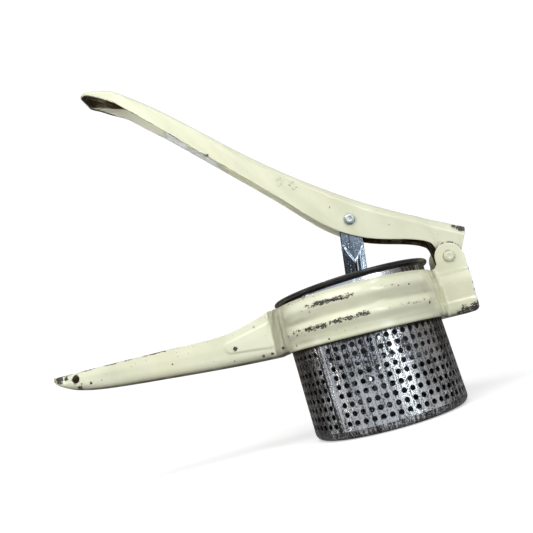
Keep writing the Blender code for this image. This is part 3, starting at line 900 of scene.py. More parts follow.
def make_lower_frame(mat):
    columns = [both_sides(frame_column(*row)) for row in frame_stations()]
    surface = Surface()
    runs = lengths_along(columns, -FLANK_ROWS // 2)

    def describe(number, _, p):
        side = 40.0 if p.y > 0.0 else 0.0
        return (runs[number], p.z, p.y * 0.5 + side), frame_wear(p), 0.0

    surface.grid(columns, describe)
    surface.punch(HANG_HOLE, HANG_HOLE_RADIUS)
    surface.punch(EAR_CENTRE, PIVOT_SHANK + GAP)
    surface.thicken(SHEET)
    surface.soil_and_shade(lambda v: frame_grime_and_shade(v, v[surface.inner]))
    install(surface.finish("lower_frame_shell", LEVEL, 70.0),
            "frame", "cream_enamel", mat, "lower_frame")


def make_bridge(mat):
    """The strip inside the collar that closes it between the cheeks."""
    surface = Surface()
    columns = []
    for k in range(2 * BRIDGE_STEPS + 1):
        a = BRIDGE_HALF_ANGLE * (k / BRIDGE_STEPS - 1.0)
        x, y = BRIDGE_RADIUS * cos(a), BRIDGE_RADIUS * sin(a)
        low, high = BRIDGE_HEIGHTS
        columns.append([(x, y, low + (high - low) * r / 12.0) for r in range(13)])

    def describe(_number, _i, p):
        return (p.y, p.z, 90.0), 0.35 if p.z > BRIDGE_HEIGHTS[1] - 1.5 else 0.1, 0.0

    surface.grid(columns, describe)
    surface.thicken(BRIDGE_SHEET)
    install(surface.finish("collar_bridge_strip", LEVEL),
            "frame", "cream_enamel", mat, "collar_bridge")


# --------------------------------------------------------------------- basket

WALL_LOW = PAN_HEIGHT + 0.05
WALL_HIGH = RIM_CENTRE_HEIGHT - 2.0
BANDS_BELOW = 2
BANDS_ABOVE = 22
CELL = 2.0 * pi / HOLE_COLUMNS
CELL_STEPS = 4
SIDE = [k / CELL_STEPS for k in range(CELL_STEPS)]
CELL_RING = ([(s, 0) for s in SIDE] + [(1, s) for s in SIDE]
             + [(1 - s, 1) for s in SIDE] + [(0, 1 - s) for s in SIDE])
SEAM_STEPS = 16
# Points of the wall are shared on a fine grid of steps per turn and per mm of height, in which
# every corner of the sheet's cells is a whole number
SHARED_TURNS = 72000
SHARED_HEIGHTS = 800


def wall_point(angle, z):
    """A point of the wall's outer face, with the seam and the unevenness of a rolled sheet."""
    d = degrees((angle - SEAM_ANGLE + pi) % (2.0 * pi) - pi)
    seam = 0.50 * ramp(-2.6, -2.0, d) * ramp(3.6, 1.4, d)
    seam -= 0.28 * bump(d, -2.9, 0.45) + 0.18 * bump(d, -0.6, 0.7)
    seam += 0.22 * bump(d, 1.2, 0.8)
    x, y = sin(angle), -cos(angle)
    wave = 0.16 * ripple((x * 4.0, y * 4.0, z * 0.022), 1.0, 5.0)
    wave += 0.05 * ripple((x * 14.0, y * 14.0, z * 0.060), 1.0, 9.0)
    low = ramp(WALL_LOW, WALL_LOW + 4.0, z) * ramp(80.0, 70.0, z)
    r = BASKET_RADIUS + (seam + wave - 0.12) * low
    return Vector((r * x, r * y, z))


def wall_wear_and_painted_light(angle, z):
    """Wear and painted light at z mm: painted shade at the sides, most low down there, and in the seam's
    groove, darker up on the left, and painted highlights low on the front, on the front of the band below
    the rim and on the seam's ridge.
    """
    # Painted shade towards the left and right sides, most low down there.
    side = ramp(0.55, 0.95, abs(sin(angle)))
    facing = degrees(asin(sin(angle)))
    edge = 0.3 * side * ramp(10.0, 5.0, z)
    # Darker up on the left; then a painted highlight low on the front.
    upper = 0.22 * ramp(27.0, 42.0, z) * ramp(14.0, -2.0, facing)
    lower = ramp(30.0, 16.0, z) * ramp(-37.0, -33.0, facing)
    lower *= 0.12 * ramp(42.0, 28.0, facing)
    # Painted highlights on the front of the band below the rim and on the seam's ridge.
    wall_highlight = ramp(-45.0, -15.0, facing) * ramp(34.0, 22.0, facing)
    wall_highlight *= ramp(76.0, 79.0, z)
    seam = degrees(angle - SEAM_ANGLE)
    wall_highlight = max(wall_highlight, 0.35 * bump(seam, 1.6, 0.6))
    # Painted shade in the seam's groove.
    worn = max(edge, 0.5 * side, upper, 1.6 * bump(seam, -2.9, 1.0)) * (1.0 - wall_highlight)
    return worn - 1.2 * wall_highlight - lower


def make_basket_wall(mat):
    surface = Surface()
    known = {}

    def at(angle, z):
        turn = angle % (2.0 * pi)
        key = (round(turn / (2.0 * pi) * SHARED_TURNS) % SHARED_TURNS, round(z * SHARED_HEIGHTS))
        if key not in known:
            skin = (BASKET_RADIUS * turn, z, 0.0)
            known[key] = surface.vert(wall_point(angle, z), skin, wall_wear_and_painted_light(angle, z))
        return known[key]

    def fill(marks, bottom, top, count):
        """Plain sheet between the marked angles, in count bands from bottom to top."""
        bands = [bottom + (top - bottom) * k / count for k in range(count + 1)]
        for z0, z1 in zip(bands, bands[1:]):
            for a0, a1 in zip(marks, marks[1:]):
                surface.face((at(a0, z0), at(a1, z0), at(a1, z1), at(a0, z1)))

    low = HOLE_FIRST - 0.5 * HOLE_PITCH
    high = low + HOLE_ROWS * HOLE_PITCH
    for column in range(HOLE_COLUMNS):
        a0 = SEAM_ANGLE + (column - 0.5) * CELL
        steps = SEAM_STEPS if column == 0 else CELL_STEPS
        marks = [a0 + CELL * k / steps for k in range(steps + 1)]
        fill(marks, WALL_LOW, low, BANDS_BELOW)
        fill(marks, high, WALL_HIGH, BANDS_ABOVE)
        for row in range(HOLE_ROWS):
            z0 = low + row * HOLE_PITCH
            if column == 0:
                fill(marks, z0, z0 + HOLE_PITCH, CELL_STEPS)
                continue
            centre_a, centre_z = a0 + 0.5 * CELL, z0 + 0.5 * HOLE_PITCH
            outer = [at(a0 + CELL * u, z0 + HOLE_PITCH * w) for u, w in CELL_RING]
            inner = []
            for u, w in CELL_RING:
                turn = atan2((w - 0.5) * HOLE_PITCH, (u - 0.5) * CELL * BASKET_RADIUS)
                inner.append(at(centre_a + HOLE_RADIUS * cos(turn) / BASKET_RADIUS,
                                centre_z + HOLE_RADIUS * sin(turn)))
            surface.band(inner, outer)
    surface.thicken(BASKET_WALL, 0)

    # Painted shadow in a line just under the collar's lower edge, and painted shade over the inside of the
    # wall.
    def grime_and_shade(v):
        hem = FRAME_HEIGHT - sin(FRAME_TILT) * v.co.x + COLLAR_BOTTOM
        line = ramp(hem - 2.4, hem - 1.6, v.co.z) * ramp(hem + 5.0, hem + 2.0, v.co.z)
        return max(line, 0.7 * v[surface.inner])

    surface.soil_and_shade(grime_and_shade)
    install(surface.finish("basket_wall_perforated", STILL, 35.0),
            "basket", "worn_tin", mat, "basket_wall")


# Holes whose direction's share towards the viewer is under the limit below can be closed by a dark plug of
# painted shade
SHADE_PLUG_LIMIT = 0.15
SHADE_PLUG_SHARE = 0.96
SHADE_PLUG_SIDES = 12
SHADE_PLUG_RADIUS = HOLE_RADIUS + 0.03


def make_hole_shade_plugs(mat):
    """Dark plugs, painted shade, that close most holes on the side away from the viewer, so that the
    inside shows dark through the near holes.
    """
    surface = Surface()
    draw = random.Random(7)
    outer, inner = BASKET_RADIUS - 0.35, BASKET_RADIUS - BASKET_WALL + 0.05
    for column in range(1, HOLE_COLUMNS):
        angle = SEAM_ANGLE + column * CELL
        for row in range(HOLE_ROWS):
            closed = draw.random() < SHADE_PLUG_SHARE
            if cos(angle) > SHADE_PLUG_LIMIT or not closed:
                continue
            z = HOLE_FIRST + row * HOLE_PITCH
            rings = []
            for r in (outer, inner):
                ring = []
                for k in range(SHADE_PLUG_SIDES):
                    turn = 2.0 * pi * k / SHADE_PLUG_SIDES
                    a = angle + SHADE_PLUG_RADIUS * cos(turn) / BASKET_RADIUS
                    h = z + SHADE_PLUG_RADIUS * sin(turn)
                    point = (r * sin(a), -r * cos(a), h)
                    ring.append(surface.vert(point, (BASKET_RADIUS * a, h, 9.0)))
                rings.append(ring)
            front, back = rings
            surface.face(front)
            surface.face(back[::-1])
            surface.band(front, back)
    install(surface.finish("basket_hole_shade_plugs", STILL, 35.0), "basket", "rim_steel", mat)


def make_rim(mat):
    """The wired bead round the basket's mouth, with its inner lap."""
    outline = arc_points((RIM_CENTRE_RADIUS, RIM_CENTRE_HEIGHT), RIM_TUBE_RADIUS, 250, -60, 20)
    outside, inside = BASKET_RADIUS + 0.12, BASKET_RADIUS - BASKET_WALL - 0.05
    for radius, drop in ((outside, 1.8), (outside, 2.4), (inside, 2.4), (inside, 0.8)):
        outline.append((radius, RIM_CENTRE_HEIGHT - drop))
    install(turned("basket_rim_bead", outline, RIM_SIDES, STILL), "basket", "rim_steel", mat)


def make_pan(mat):
    """The perforated bottom: a flat sheet of holes with a rounded corner and an inner lap."""
    surface = Surface()
    flat = BASKET_RADIUS - PAN_CORNER
    points, edges, open_cells = [], [], set()

    def add_loop(centre, radius, count, turn):
        first = len(points)
        for k in range(count):
            a = turn + 2.0 * pi * k / count
            points.append(Vector((centre[0] + radius * cos(a), centre[1] + radius * sin(a))))
            edges.append((first + k, first + (k + 1) % count))

    add_loop((0.0, 0.0), flat, PAN_SIDES, 0.0)
    reach = int(flat / HOLE_PITCH)
    for i in range(-reach, reach + 1):
        for j in range(-reach, reach + 1):
            centre = (i * HOLE_PITCH, j * HOLE_PITCH)
            if hypot(*centre) < flat - PAN_MARGIN:
                open_cells.add((i, j))
                add_loop(centre, HOLE_RADIUS, PAN_HOLE_SIDES, radians(15))
    coords, _, faces, _, _, _ = delaunay_2d_cdt(points, edges, [], 0, 1e-9)
    verts = [surface.vert((p.x, p.y, 0.0), (p.x, p.y, 30.0), 0.4) for p in coords]
    for face in faces:
        middle = sum((coords[i] for i in face), Vector((0.0, 0.0))) / len(face)
        cell = (round(middle.x / HOLE_PITCH), round(middle.y / HOLE_PITCH))
        if cell in open_cells and (middle - Vector(cell) * HOLE_PITCH).length < 0.95 * HOLE_RADIUS:
            continue
        surface.face([verts[i] for i in reversed(face)])
    bend = (flat, PAN_CORNER)
    profile = arc_points(bend, PAN_CORNER, -90, 0, 8)[1:]
    lap = BASKET_RADIUS - BASKET_WALL - GAP
    profile += [(BASKET_RADIUS, PAN_HEIGHT - 0.15), (BASKET_RADIUS - 0.2, PAN_HEIGHT)]
    profile += [(lap, PAN_HEIGHT), (lap, PAN_HEIGHT + 0.5 * PAN_LAP), (lap, PAN_HEIGHT + PAN_LAP)]
    ring = verts[:PAN_SIDES]
    for r, h in profile:
        upper = []
        for k in range(PAN_SIDES):
            a = 2.0 * pi * k / PAN_SIDES
            dented = r - 0.35 * bump(degrees(a), *PAN_DENT) * ramp(0.0, PAN_CORNER, h)
            skin = (BASKET_RADIUS * (a + 0.5 * pi), h, 0.0)
            upper.append(surface.vert((dented * cos(a), dented * sin(a), h), skin, 0.35))
        surface.band(upper, ring)
        ring = upper
    surface.thicken(BASKET_WALL - 0.05, 0)

    # Darker towards the rounded corner, and painted shade towards the left and right sides.
    def grime_and_shade(v):
        dark = 0.25 + 0.45 * ramp(flat - 3.0, flat + 1.0, v.co.xy.length)
        dark *= ramp(2.6, 0.6, v.co.z)
        return max(dark, 0.45 * ramp(0.55, 0.9, abs(v.co.x) / BASKET_RADIUS))

    surface.soil_and_shade(grime_and_shade)
    install(surface.finish("basket_pan_perforated", STILL, 35.0),
            "basket", "worn_tin", mat, "basket_bottom")


# ---------------------------------------------------------------------- lever

LEVER_SIDE_ROWS = 18
LEVER_CROWN_ROWS = 13


def lever_column(ridge, edge, half, crease):
    """One cross-section of the channel, from its lower edge up and over to the ridge."""
    depth = (ridge - edge).length
    corner = min(ARCH_RADIUS, 0.75 * depth, half * 1.2)
    straight = 1.0 - corner / depth
    shares = [(half, straight * k / LEVER_SIDE_ROWS) for k in range(LEVER_SIDE_ROWS)]
    full = 1.0 + 0.36 * crease
    base = sqrt(1.0 - (1.0 - 1.0 / full) ** 2)
    for k in range(LEVER_CROWN_ROWS + 1):
        turn = 0.5 * pi * k / LEVER_CROWN_ROWS
        below = 1.0 - sin(turn) ** 1.15
        y = sqrt(max(1.0 - (1.0 - below / full) ** 2, 0.0)) / base
        shares.append((half * y, 1.0 - (1.0 - straight) * below))
    return [(p.x, y, p.z) for p, y in ((edge.lerp(ridge, share), y) for y, share in shares)]


# Chips on the lever: x, z about the pivot, reach, strength (mm)
LEVER_SPOTS = (
    (-126.4, 110.6, 1.1, 1.0), (13.2, 15.4, 3.4, 0.85), (9.4, 17.6, 2.2, 0.75),
    (16.0, 13.8, 2.4, 0.85), (-201.2, 180.8, 2.0, 0.70), (-4.4, 9.0, 3.6, 0.45),
    (-86.0, 78.0, 5.0, 0.44), (-78.0, 73.0, 5.0, 0.42), (-142.0, 118.5, 2.4, 0.45),
    (-60.0, 52.0, 1.0, 0.75), (-104.0, 92.0, 1.0, 0.60), (-28.0, 30.0, 0.9, 0.70),
)
RUB_RADIUS = EAR_RADIUS + 0.6
PIN_RING = 4.0
BARE_STRETCH = (-161.0, -150.0, -126.0, -112.0)


def lever_wear(p, from_edge, pin):
    """(wear, bare) at a point of the lever, from_edge mm above its lower edge."""
    x, z = p.x, p.z
    wear_and_painted_light = spot_wear(LEVER_SPOTS, x, z, 0.35, 1.4)
    edge = ramp(1.5, 0.2, from_edge) * ramp(-60.0, -130.0, x)
    tip = ramp(-172.0, -192.0, x)
    patch = 0.50 + 0.40 * ripple((x, z, 0.0), 9.0, 7.0) + 0.30 * tip
    wear_and_painted_light = max(wear_and_painted_light, edge * patch)
    rub = hypot(x, z)
    if z > -1.0:
        wear_and_painted_light = max(wear_and_painted_light, 0.85 * bump(rub, RUB_RADIUS, 0.5))
    ring = hypot(p.x - pin.x, p.z - pin.z)
    worn = 0.8 * bump(ring, PIN_RING, 0.35)
    return (worn, 1.0) if worn > wear_and_painted_light else (wear_and_painted_light, 0.0)


def lever_grime_and_shade(v, inner):
    """Painted shade and dirt: the near edges darker than the far ones, painted shade inside the channel
    towards both ends with dirt near the hinge, a dark ring round the hinge that is the ear's painted
    shadow and dirt, and darker at the very tip.
    """
    x, z = v.co.x, v.co.z
    # Painted shade: the sheet's edges on the near side are darkened more than on the far side.
    amount = (0.90 if v.co.y < 0.0 else 0.15) * bump(inner, 0.5, 0.3)
    if inner > 0.9:
        # Painted shade inside the channel: its crown and near side towards the tip, and all of it near the
        # hinge, where there is dirt too.
        start = 0.42 + 0.22 * ramp(-180.0, -198.0, x)
        deep_shade = ramp(start, start + 0.2, abs(v.normal.z) + 0.25 * abs(v.normal.x))
        near_side_shade = ramp(2.0, -6.0, v.co.y)
        amount = 0.97 * max(deep_shade, near_side_shade) * ramp(-132.0, -150.0, x)
        amount = max(amount, 0.97 * ramp(-60.0, -44.0, x))
    elif z > -1.0:
        # A dark line round the ear's edge: its painted shadow, and dirt.
        amount = max(amount, 0.85 * bump(hypot(x, z), EAR_RADIUS + 0.45, 0.35))
    # Darker at the very tip.
    return max(amount, 0.5 * ramp(-197.5, -200.8, x))


def make_lever(mat):
    surface = Surface()
    columns = []
    for rx, rz, ex, ez, half in through_stations(UPPER_HANDLE, 1.1):
        ridge, edge = Vector((rx, 0.0, rz)), Vector((ex, 0.0, ez))
        crease = ramp(-120.0, -70.0, rx) * (1.0 - 0.4 * ramp(-5.0, 12.0, rx))
        far = lever_column(ridge, edge, half, crease)
        near = [(x, -y, z) for x, y, z in far[:-1]]
        columns.append(near + far[::-1])
    middle = len(columns[0]) // 2
    runs = lengths_along(columns, middle)
    pin = PIN - PIVOT

    def describe(number, i, p):
        rise = (p - Vector(columns[number][0 if i <= middle else -1])).length
        return (runs[number], rise, 30.0 if i > middle else 0.0), *lever_wear(p, rise, pin)

    surface.grid(columns, describe)
    surface.punch((0.0, 0.0), PIVOT_SHANK + 2.0 * GAP)
    surface.punch((pin.x, pin.z), PLUNGER_SHANK + GAP)
    surface.thicken(SHEET)
    low, high, start, end = BARE_STRETCH
    for v in surface.bm.verts:
        x = v.co.x
        if v[surface.inner] > 0.9 and v.co.y > 0.0:
            stretch = ramp(low, high, x) * ramp(end, start, x)
            patchy = 0.74 + 0.40 * ripple((x, v.co.z, 0.0), 2.4, 11.0)
            v[surface.wear_and_painted_light] = max(v[surface.wear_and_painted_light], patchy * stretch)
            v[surface.bare] = max(v[surface.bare], stretch)

    surface.soil_and_shade(lambda v: lever_grime_and_shade(v, v[surface.inner]))
    install(surface.finish("upper_handle_shell", LEVER, 70.0),
            "lever", "cream_enamel", mat, "upper_handle")


# -------------------------------------------------------------------- plunger

def under_vee(x, z):
    """Depth in mm below the V pressed into the strap, negative above it."""
    along = abs(x) / STRAP_HALF_WIDTH
    return 0.55 * (-26.5 + 11.0 * along ** 1.3 - z)


# Pressed ribs (positive) and grooves below the V: x, height, width in mm
STRAP_RIBS = (
    (0.0, -0.70, 0.60), (1.1, 0.35, 0.45), (2.2, -0.55, 0.55), (3.4, 0.40, 0.60),
    (-1.0, 0.20, 0.50), (-2.6, -0.25, 0.90),
)


def strap_relief(x, z):
    """How far the strap's leg stands out, in mm: flat above a V with a raised edge, then ribs."""
    depth = under_vee(x, z)
    along = abs(x) / STRAP_HALF_WIDTH
    below = ramp(0.0, 0.7, depth)
    ribs = sum(height * bump(x, place, width) for place, height, width in STRAP_RIBS)
    relief = (0.35 + 0.75 * (1.0 - along) + ribs) * below
    relief += 0.45 * bump(depth, 0.15, 0.35) * ramp(0.9, 0.75, along)
    return max(relief, 0.0) * ramp(-86.0, -78.0, z)


def strap_painted_light(x, z):
    """Painted light on the strap: painted shade on the left below the V, and painted highlights along the
    V and two of the ribs.
    """
    depth = under_vee(x, z)
    # Painted shade on the left below the V.
    strap_shade = 0.45 * ramp(0.3, 1.2, depth) * ramp(1.2, -0.4, x)
    # Painted highlights along the V and two of the ribs.
    strap_highlight = 3.2 * bump(depth, 0.10, 0.35) * ramp(0.9, 0.75, abs(x) / STRAP_HALF_WIDTH)
    below = ramp(0.3, 1.2, depth)
    strap_highlight = max(strap_highlight, 2.4 * below * bump(x, 1.1, 0.35), 2.4 * below * bump(x, 3.5, 0.5))
    return strap_shade * (1.0 - min(strap_highlight, 1.0)) - strap_highlight


def make_strap(mat):
    """The strap, one sheet from one leg's round end down, across the plate and up the other."""
    surface = Surface()
    bottom = -STRAP_LENGTH + PLATE_SHEET + GAP
    columns = []
    for k in range(STRAP_COLUMNS):
        x = -STRAP_HALF_WIDTH * cos(pi * (k + 0.5) / STRAP_COLUMNS)
        round_end = sqrt(max(STRAP_HALF_WIDTH ** 2 - x * x, 0.0))
        leg = [(STRAP_HALF_SPAN, round_end * (1.0 - r / 6.0)) for r in range(6)]
        leg += [(STRAP_HALF_SPAN, -0.5 * r) for r in range(STRAP_ROWS)]
        end = leg[-1][1]
        leg += [(STRAP_HALF_SPAN, end - 0.5 * (end - bottom - STRAP_BEND))]
        bend = (STRAP_HALF_SPAN - STRAP_BEND, bottom + STRAP_BEND)
        leg += arc_points(bend, STRAP_BEND, 0, -90, 8)
        leg = [(y + strap_relief(x, z) * (y > STRAP_HALF_SPAN - 1e-7), z) for y, z in leg]
        far = [(x, y, z) for y, z in leg]
        near = [(x, -y, z) for y, z in reversed(leg)]
        columns.append(far + near)

    def describe(_number, _i, p):
        return (p.x, p.z, 50.0 if p.y > 0.0 else 0.0), strap_painted_light(p.x, p.z), 0.0

    # Painted shade in the pressed grooves below the V.
    def grime_and_shade(v):
        x, z = v.co.x, v.co.z
        groove = max(bump(x, 0.0, 0.50), 0.85 * bump(x, 2.2, 0.50))
        groove = max(groove, 0.40 * bump(x, -2.8, 1.0))
        return 0.95 * groove * ramp(0.4, 1.2, under_vee(x, z))

    surface.grid(columns, describe)
    surface.punch((0.0, 0.0), PLUNGER_SHANK + 2.0 * GAP)
    surface.thicken(STRAP_SHEET)
    surface.soil_and_shade(grime_and_shade)
    install(surface.finish("plunger_strap_pressed", SWING, 60.0),
            "plunger", "worn_tin", mat, "plunger_strap")


def make_plate(mat):
    """The round plate, with one shallow ring pressed into it and a turned-up edge."""
    low = -STRAP_LENGTH
    underside = [(0.0, low), (14.0, low), (25.0, low)]
    underside += [(26.0 + 5.0 * k / 8.0, low + 0.9 * sin(pi * k / 8.0) ** 1.5) for k in range(9)]
    underside.append((36.0, low))
    bend = (PLATE_RADIUS - PLATE_CORNER, low + PLATE_CORNER)
    edge = arc_points(bend, PLATE_CORNER, -90, 0, 8)
    edge += [(PLATE_RADIUS, low + PLATE_EDGE - 0.2), (PLATE_RADIUS - 0.2, low + PLATE_EDGE)]
    inside = [(PLATE_RADIUS - PLATE_SHEET + 0.15, low + PLATE_EDGE)]
    inside += arc_points(bend, PLATE_CORNER - PLATE_SHEET, 0, -90, 5)
    top = [(r, z + PLATE_SHEET) for r, z in reversed(underside)]
    install(turned("press_plate_turned", underside + edge + inside + top, PLATE_SIDES, SWING),
            "plunger", "worn_tin", mat, "press_plate")


# --------------------------------------------------------------------- rivets

# Outline of a rivet head from its middle outwards: shares of the head's radius and height
HEAD_OUTLINE = (
    (0.0, 0.86), (0.16, 0.86), (0.30, 0.87), (0.40, 0.92), (0.47, 0.97), (0.56, 0.98),
    (0.66, 0.93), (0.70, 0.84), (0.74, 0.82), (0.80, 0.80), (0.88, 0.70), (0.94, 0.52),
    (0.98, 0.30), (1.0, 0.12), (1.0, 0.0),
)
HEAD_STAMP = 0.14
RIVET_SIDES = 56


def rivet(name, centre, shank, head, half_span, stamp, wear_and_painted_light, bare, grime_and_shade):
    """A rivet across Y with a low flat-topped head on each end, its face stamped hollow."""
    dome = [(r * head, HEAD_HEIGHT * (h - stamp * HEAD_STAMP * ramp(0.42, 0.3, r)))
            for r, h in HEAD_OUTLINE]
    dome.append((shank, 0.0))
    start = half_span + GAP
    upper = [(r, start + h) for r, h in dome]
    lower = [(r, -start - h) for r, h in reversed(dome)]
    return turned(name, upper + lower, RIVET_SIDES, Matrix.Translation(centre), along_y=True,
                  wear_and_painted_light=wear_and_painted_light, bare=bare, sharp=50.0, grime_and_shade=grime_and_shade)


# ---------------------------------------------------------------------- scene

FLOOR_FADE = (0.25, 0.75)
FLOOR_HALF_SIZE = 0.9
FLOOR_DROP = 0.2 * MM
FLOOR_GLOW_SEEN = 0.45
FLOOR_GLOW_MIRRORED = 0.20
PAPER_DARK = (0.84, 0.84, 0.84)
PAPER_LIGHT = (0.90, 0.90, 0.90)
PAPER_LIT = (0.42, 0.42, 0.42)

WHITE = (1.0, 1.0, 1.0)
BACKDROP = 1.05
SOFT_LIGHT = 0.36
ROOM_SIDE = (0.20, 0.165, 0.135)
ROOM_FRONT = (0.52, 0.57, 0.64)
ROOM_TOP = (0.85, 0.88, 0.92)

# Area lights: name, place, aim, size, power, colour, what it lights, spread in degrees
LIGHTS = (
    ("top", (-0.25, -0.70, 1.15), (0.0, 0.0, 0.08), (0.9, 0.7), 6.3, WHITE, 'ALL', 180.0),
    ("key", (0.50, -0.84, 1.00), (-0.05, 0.0, 0.1), (0.17, 0.17), 1.5, WHITE, 'ALL', 180.0),
    ("right", (0.66, -1.02, 0.42), (0.0, 0.0, 0.09), (0.26, 0.95), 2.7, (0.95, 0.98, 1.0), 'ALL', 180.0),
    ("left", (-1.10, -0.80, 0.45), (-0.08, 0.0, 0.11), (0.6, 0.7), 4.9, (0.99, 0.98, 0.97), 'MATT', 180.0),
    ("low", (-0.60, -1.0, -0.04), (-0.12, 0.0, 0.235), (0.2, 0.2), 0.045, WHITE, 'MATT', 16.0),
    ("fill", (0.10, -1.20, 0.12), (0.0, 0.0, 0.10), (0.5, 0.5), 2.2, WHITE, 'MATT', 180.0),
    ("strip", (0.60, -1.05, 0.36), (0.0, 0.0, 0.05), (0.30, 0.95), 2.6, (0.90, 0.96, 1.0), 'GLOSS', 180.0),
    ("glint", (-1.05, -0.38, 0.14), (0.0, 0.0, 0.07), (0.06, 0.36), 0.9, WHITE, 'GLOSS', 180.0),
)

# Camera fitted to the photo's perspective: degrees to the left, upwards and of roll
CAMERA_PLACE = (-0.025845, -0.358083, 0.046289)
CAMERA_TURN = 3.46
CAMERA_RISE = 10.52
CAMERA_ROLL = -16.15
CAMERA_LENS = 37.888
CAMERA_SENSOR = 36.0
CAMERA_CLIP = (0.02, 50.0)


def make_floor():
    """Pale paper under the object, which fades out into the white all round."""
    g = Graph("floor_paper")
    place = g.new("ShaderNodeTexCoord").outputs["Object"]
    fibre = g.noise(g.scale(place, (1.0 / MM,) * 3), 3.0, 3.0, 0.6)
    reach = g.new("ShaderNodeVectorMath", operation='LENGTH')
    g.put(reach.inputs[0], g.scale(place, (1.0, 1.0, 0.0)))
    away = reach.outputs["Value"]
    path = g.new("ShaderNodeLightPath")
    seen = path.outputs["Is Camera Ray"]
    glow = g.times_plus(path.outputs["Is Glossy Ray"], FLOOR_GLOW_MIRRORED,
                        g.times(seen, FLOOR_GLOW_SEEN))
    paper = g.mix(fibre, PAPER_DARK, PAPER_LIGHT)
    g.set(Base_Color=g.mix(seen, PAPER_LIT, paper), Roughness=0.9,
          Alpha=g.step(away, FLOOR_FADE[1], FLOOR_FADE[0]),
          Emission_Color=WHITE, Emission_Strength=glow, Specular_IOR_Level=0.0)
    bm = bmesh.new()
    bmesh.ops.create_grid(bm, x_segments=8, y_segments=8, size=FLOOR_HALF_SIZE)
    mesh = bpy.data.meshes.new("floor")
    bm.to_mesh(mesh)
    bm.free()
    mesh.materials.append(g.mat)
    floor = bpy.data.objects.new("floor", mesh)
    floor.location = (0.0, 0.0, -FLOOR_DROP)
    bpy.context.scene.collection.objects.link(floor)


def make_world():
    """White to the eye, soft grey to matt surfaces, and a room with warm dark sides to shiny ones."""
    world = bpy.data.worlds.new("studio")
    bpy.context.scene.world = world
    world.use_nodes = True
    world.node_tree.nodes.clear()
    g = Nodes(world.node_tree)

    def background(colour, strength):
        return g.fill(g.new("ShaderNodeBackground"), colour, strength)

    def choose(share, a, b):
        return g.fill(g.new("ShaderNodeMixShader"), share, a, b)

    path = g.new("ShaderNodeLightPath")
    split = g.new("ShaderNodeSeparateXYZ")
    g.put(split.inputs[0], g.new("ShaderNodeTexCoord").outputs["Generated"])
    sides = g.mix(g.step(split.outputs["Y"], -0.25, -1.0), ROOM_SIDE, ROOM_FRONT)
    room = g.mix(g.step(split.outputs["Z"], 0.15, 0.9), sides, ROOM_TOP)
    lit = choose(path.outputs["Is Diffuse Ray"], background(room, 1.0), background(WHITE, SOFT_LIGHT))
    shown = choose(path.outputs["Is Camera Ray"], lit, background(WHITE, BACKDROP))
    g.put(g.new("ShaderNodeOutputWorld").inputs["Surface"], shown)


def softbox(name, place, aim, size, power, colour, lights, spread):
    """An area light for everything ('ALL'), matt surfaces ('MATT') or reflections ('GLOSS')."""
    light = bpy.data.lights.new(name, 'AREA')
    light.shape = 'RECTANGLE'
    light.size, light.size_y = size
    light.energy = power
    light.spread = radians(spread)
    light.color = colour
    obj = bpy.data.objects.new(name, light)
    obj.location = place
    obj.visible_glossy = lights != 'MATT'
    obj.visible_diffuse = lights != 'GLOSS'
    obj.rotation_euler = (Vector(aim) - Vector(place)).to_track_quat('-Z', 'Y').to_euler()
    bpy.context.scene.collection.objects.link(obj)


def make_camera():
    data = bpy.data.cameras.new("camera")
    data.lens = CAMERA_LENS
    data.sensor_width = CAMERA_SENSOR
    data.clip_start, data.clip_end = CAMERA_CLIP
    camera = bpy.data.objects.new("camera", data)
    camera.matrix_world = (Matrix.Translation(CAMERA_PLACE)
                           @ Matrix.Rotation(radians(CAMERA_TURN), 4, 'Z')
                           @ Matrix.Rotation(radians(90.0 + CAMERA_RISE), 4, 'X')
                           @ Matrix.Rotation(radians(CAMERA_ROLL), 4, 'Z'))
    bpy.context.scene.collection.objects.link(camera)
    bpy.context.scene.camera = camera


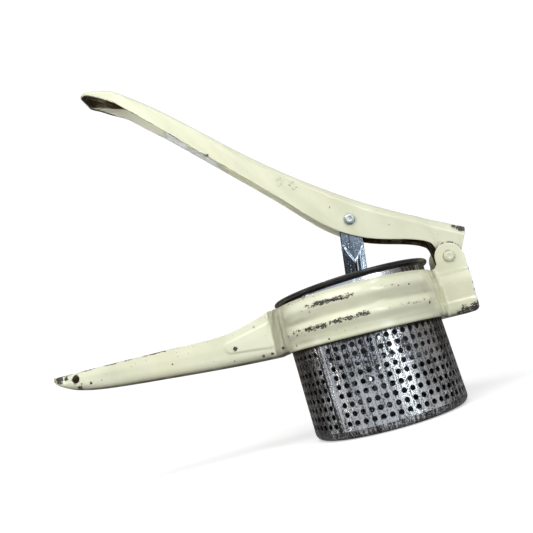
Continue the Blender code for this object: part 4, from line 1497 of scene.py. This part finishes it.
def main():
    enamel = enamel_material("cream_enamel_chipped")
    tin = tin_material("tinplate_worn", dark=(0.035, 0.035, 0.036), light=(0.76, 0.79, 0.82),
                       tint=0.55, rough=(0.24, 0.46))
    strap_tin = tin_material("tinplate_strap", dark=(0.040, 0.048, 0.055),
                             light=(0.38, 0.45, 0.53), tint=0.15, rough=(0.13, 0.30))
    # Near-black bead: a painted dark reflection, the dark room that the tinned bead mirrors, put into its
    # colour.
    rim = plain_steel_material("rim_painted_reflection", (0.009, 0.009, 0.008), (0.045, 0.045, 0.044),
                               metallic=0.5, rough=(0.16, 0.34))
    # Near-black plugs in the back holes: painted shade.
    shade_plug = plain_steel_material("shade_plug_dark", (0.020, 0.016, 0.012), (0.060, 0.050, 0.040),
                                 metallic=0.0, rough=(0.70, 0.90))
    rivet_tin = tin_material("rivet_tin", dark=(0.26, 0.28, 0.27), light=(0.56, 0.61, 0.59),
                             tint=0.1, rough=(0.30, 0.42))
    steel = cad_steel_material("small_steel")

    make_lower_frame(enamel)
    make_bridge(enamel)
    make_basket_wall(tin)
    make_hole_shade_plugs(shade_plug)
    make_rim(rim)
    make_pan(tin)
    make_lever(enamel)
    make_strap(strap_tin)
    make_plate(tin)
    pivot_rivet = rivet("pivot_rivet_painted", PIVOT, PIVOT_SHANK, PIVOT_HEAD, EAR_HALF_WIDTH,
                        stamp=0.8, wear_and_painted_light=0.16, bare=0.0, grime_and_shade=0.10)
    install(pivot_rivet, "frame", "cream_enamel", enamel, "pivot_rivet")
    plunger_rivet = rivet("plunger_rivet_bare", PIN, PLUNGER_SHANK, PLUNGER_HEAD, PIN_HALF_WIDTH,
                          stamp=0.3, wear_and_painted_light=0.0, bare=1.0, grime_and_shade=0.0)
    install(plunger_rivet, "lever", "rivet_steel", rivet_tin, "plunger_rivet")
    for name in ("pivot_spacer", "plunger_spacer", "plate_rivet_1", "plate_rivet_2", "rim_wire"):
        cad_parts[name].data.materials.clear()
        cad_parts[name].data.materials.append(steel)

    make_floor()
    make_world()
    for light in LIGHTS:
        softbox(*light)
    make_camera()
    bpy.context.scene.view_settings.view_transform = 'Standard'


main()
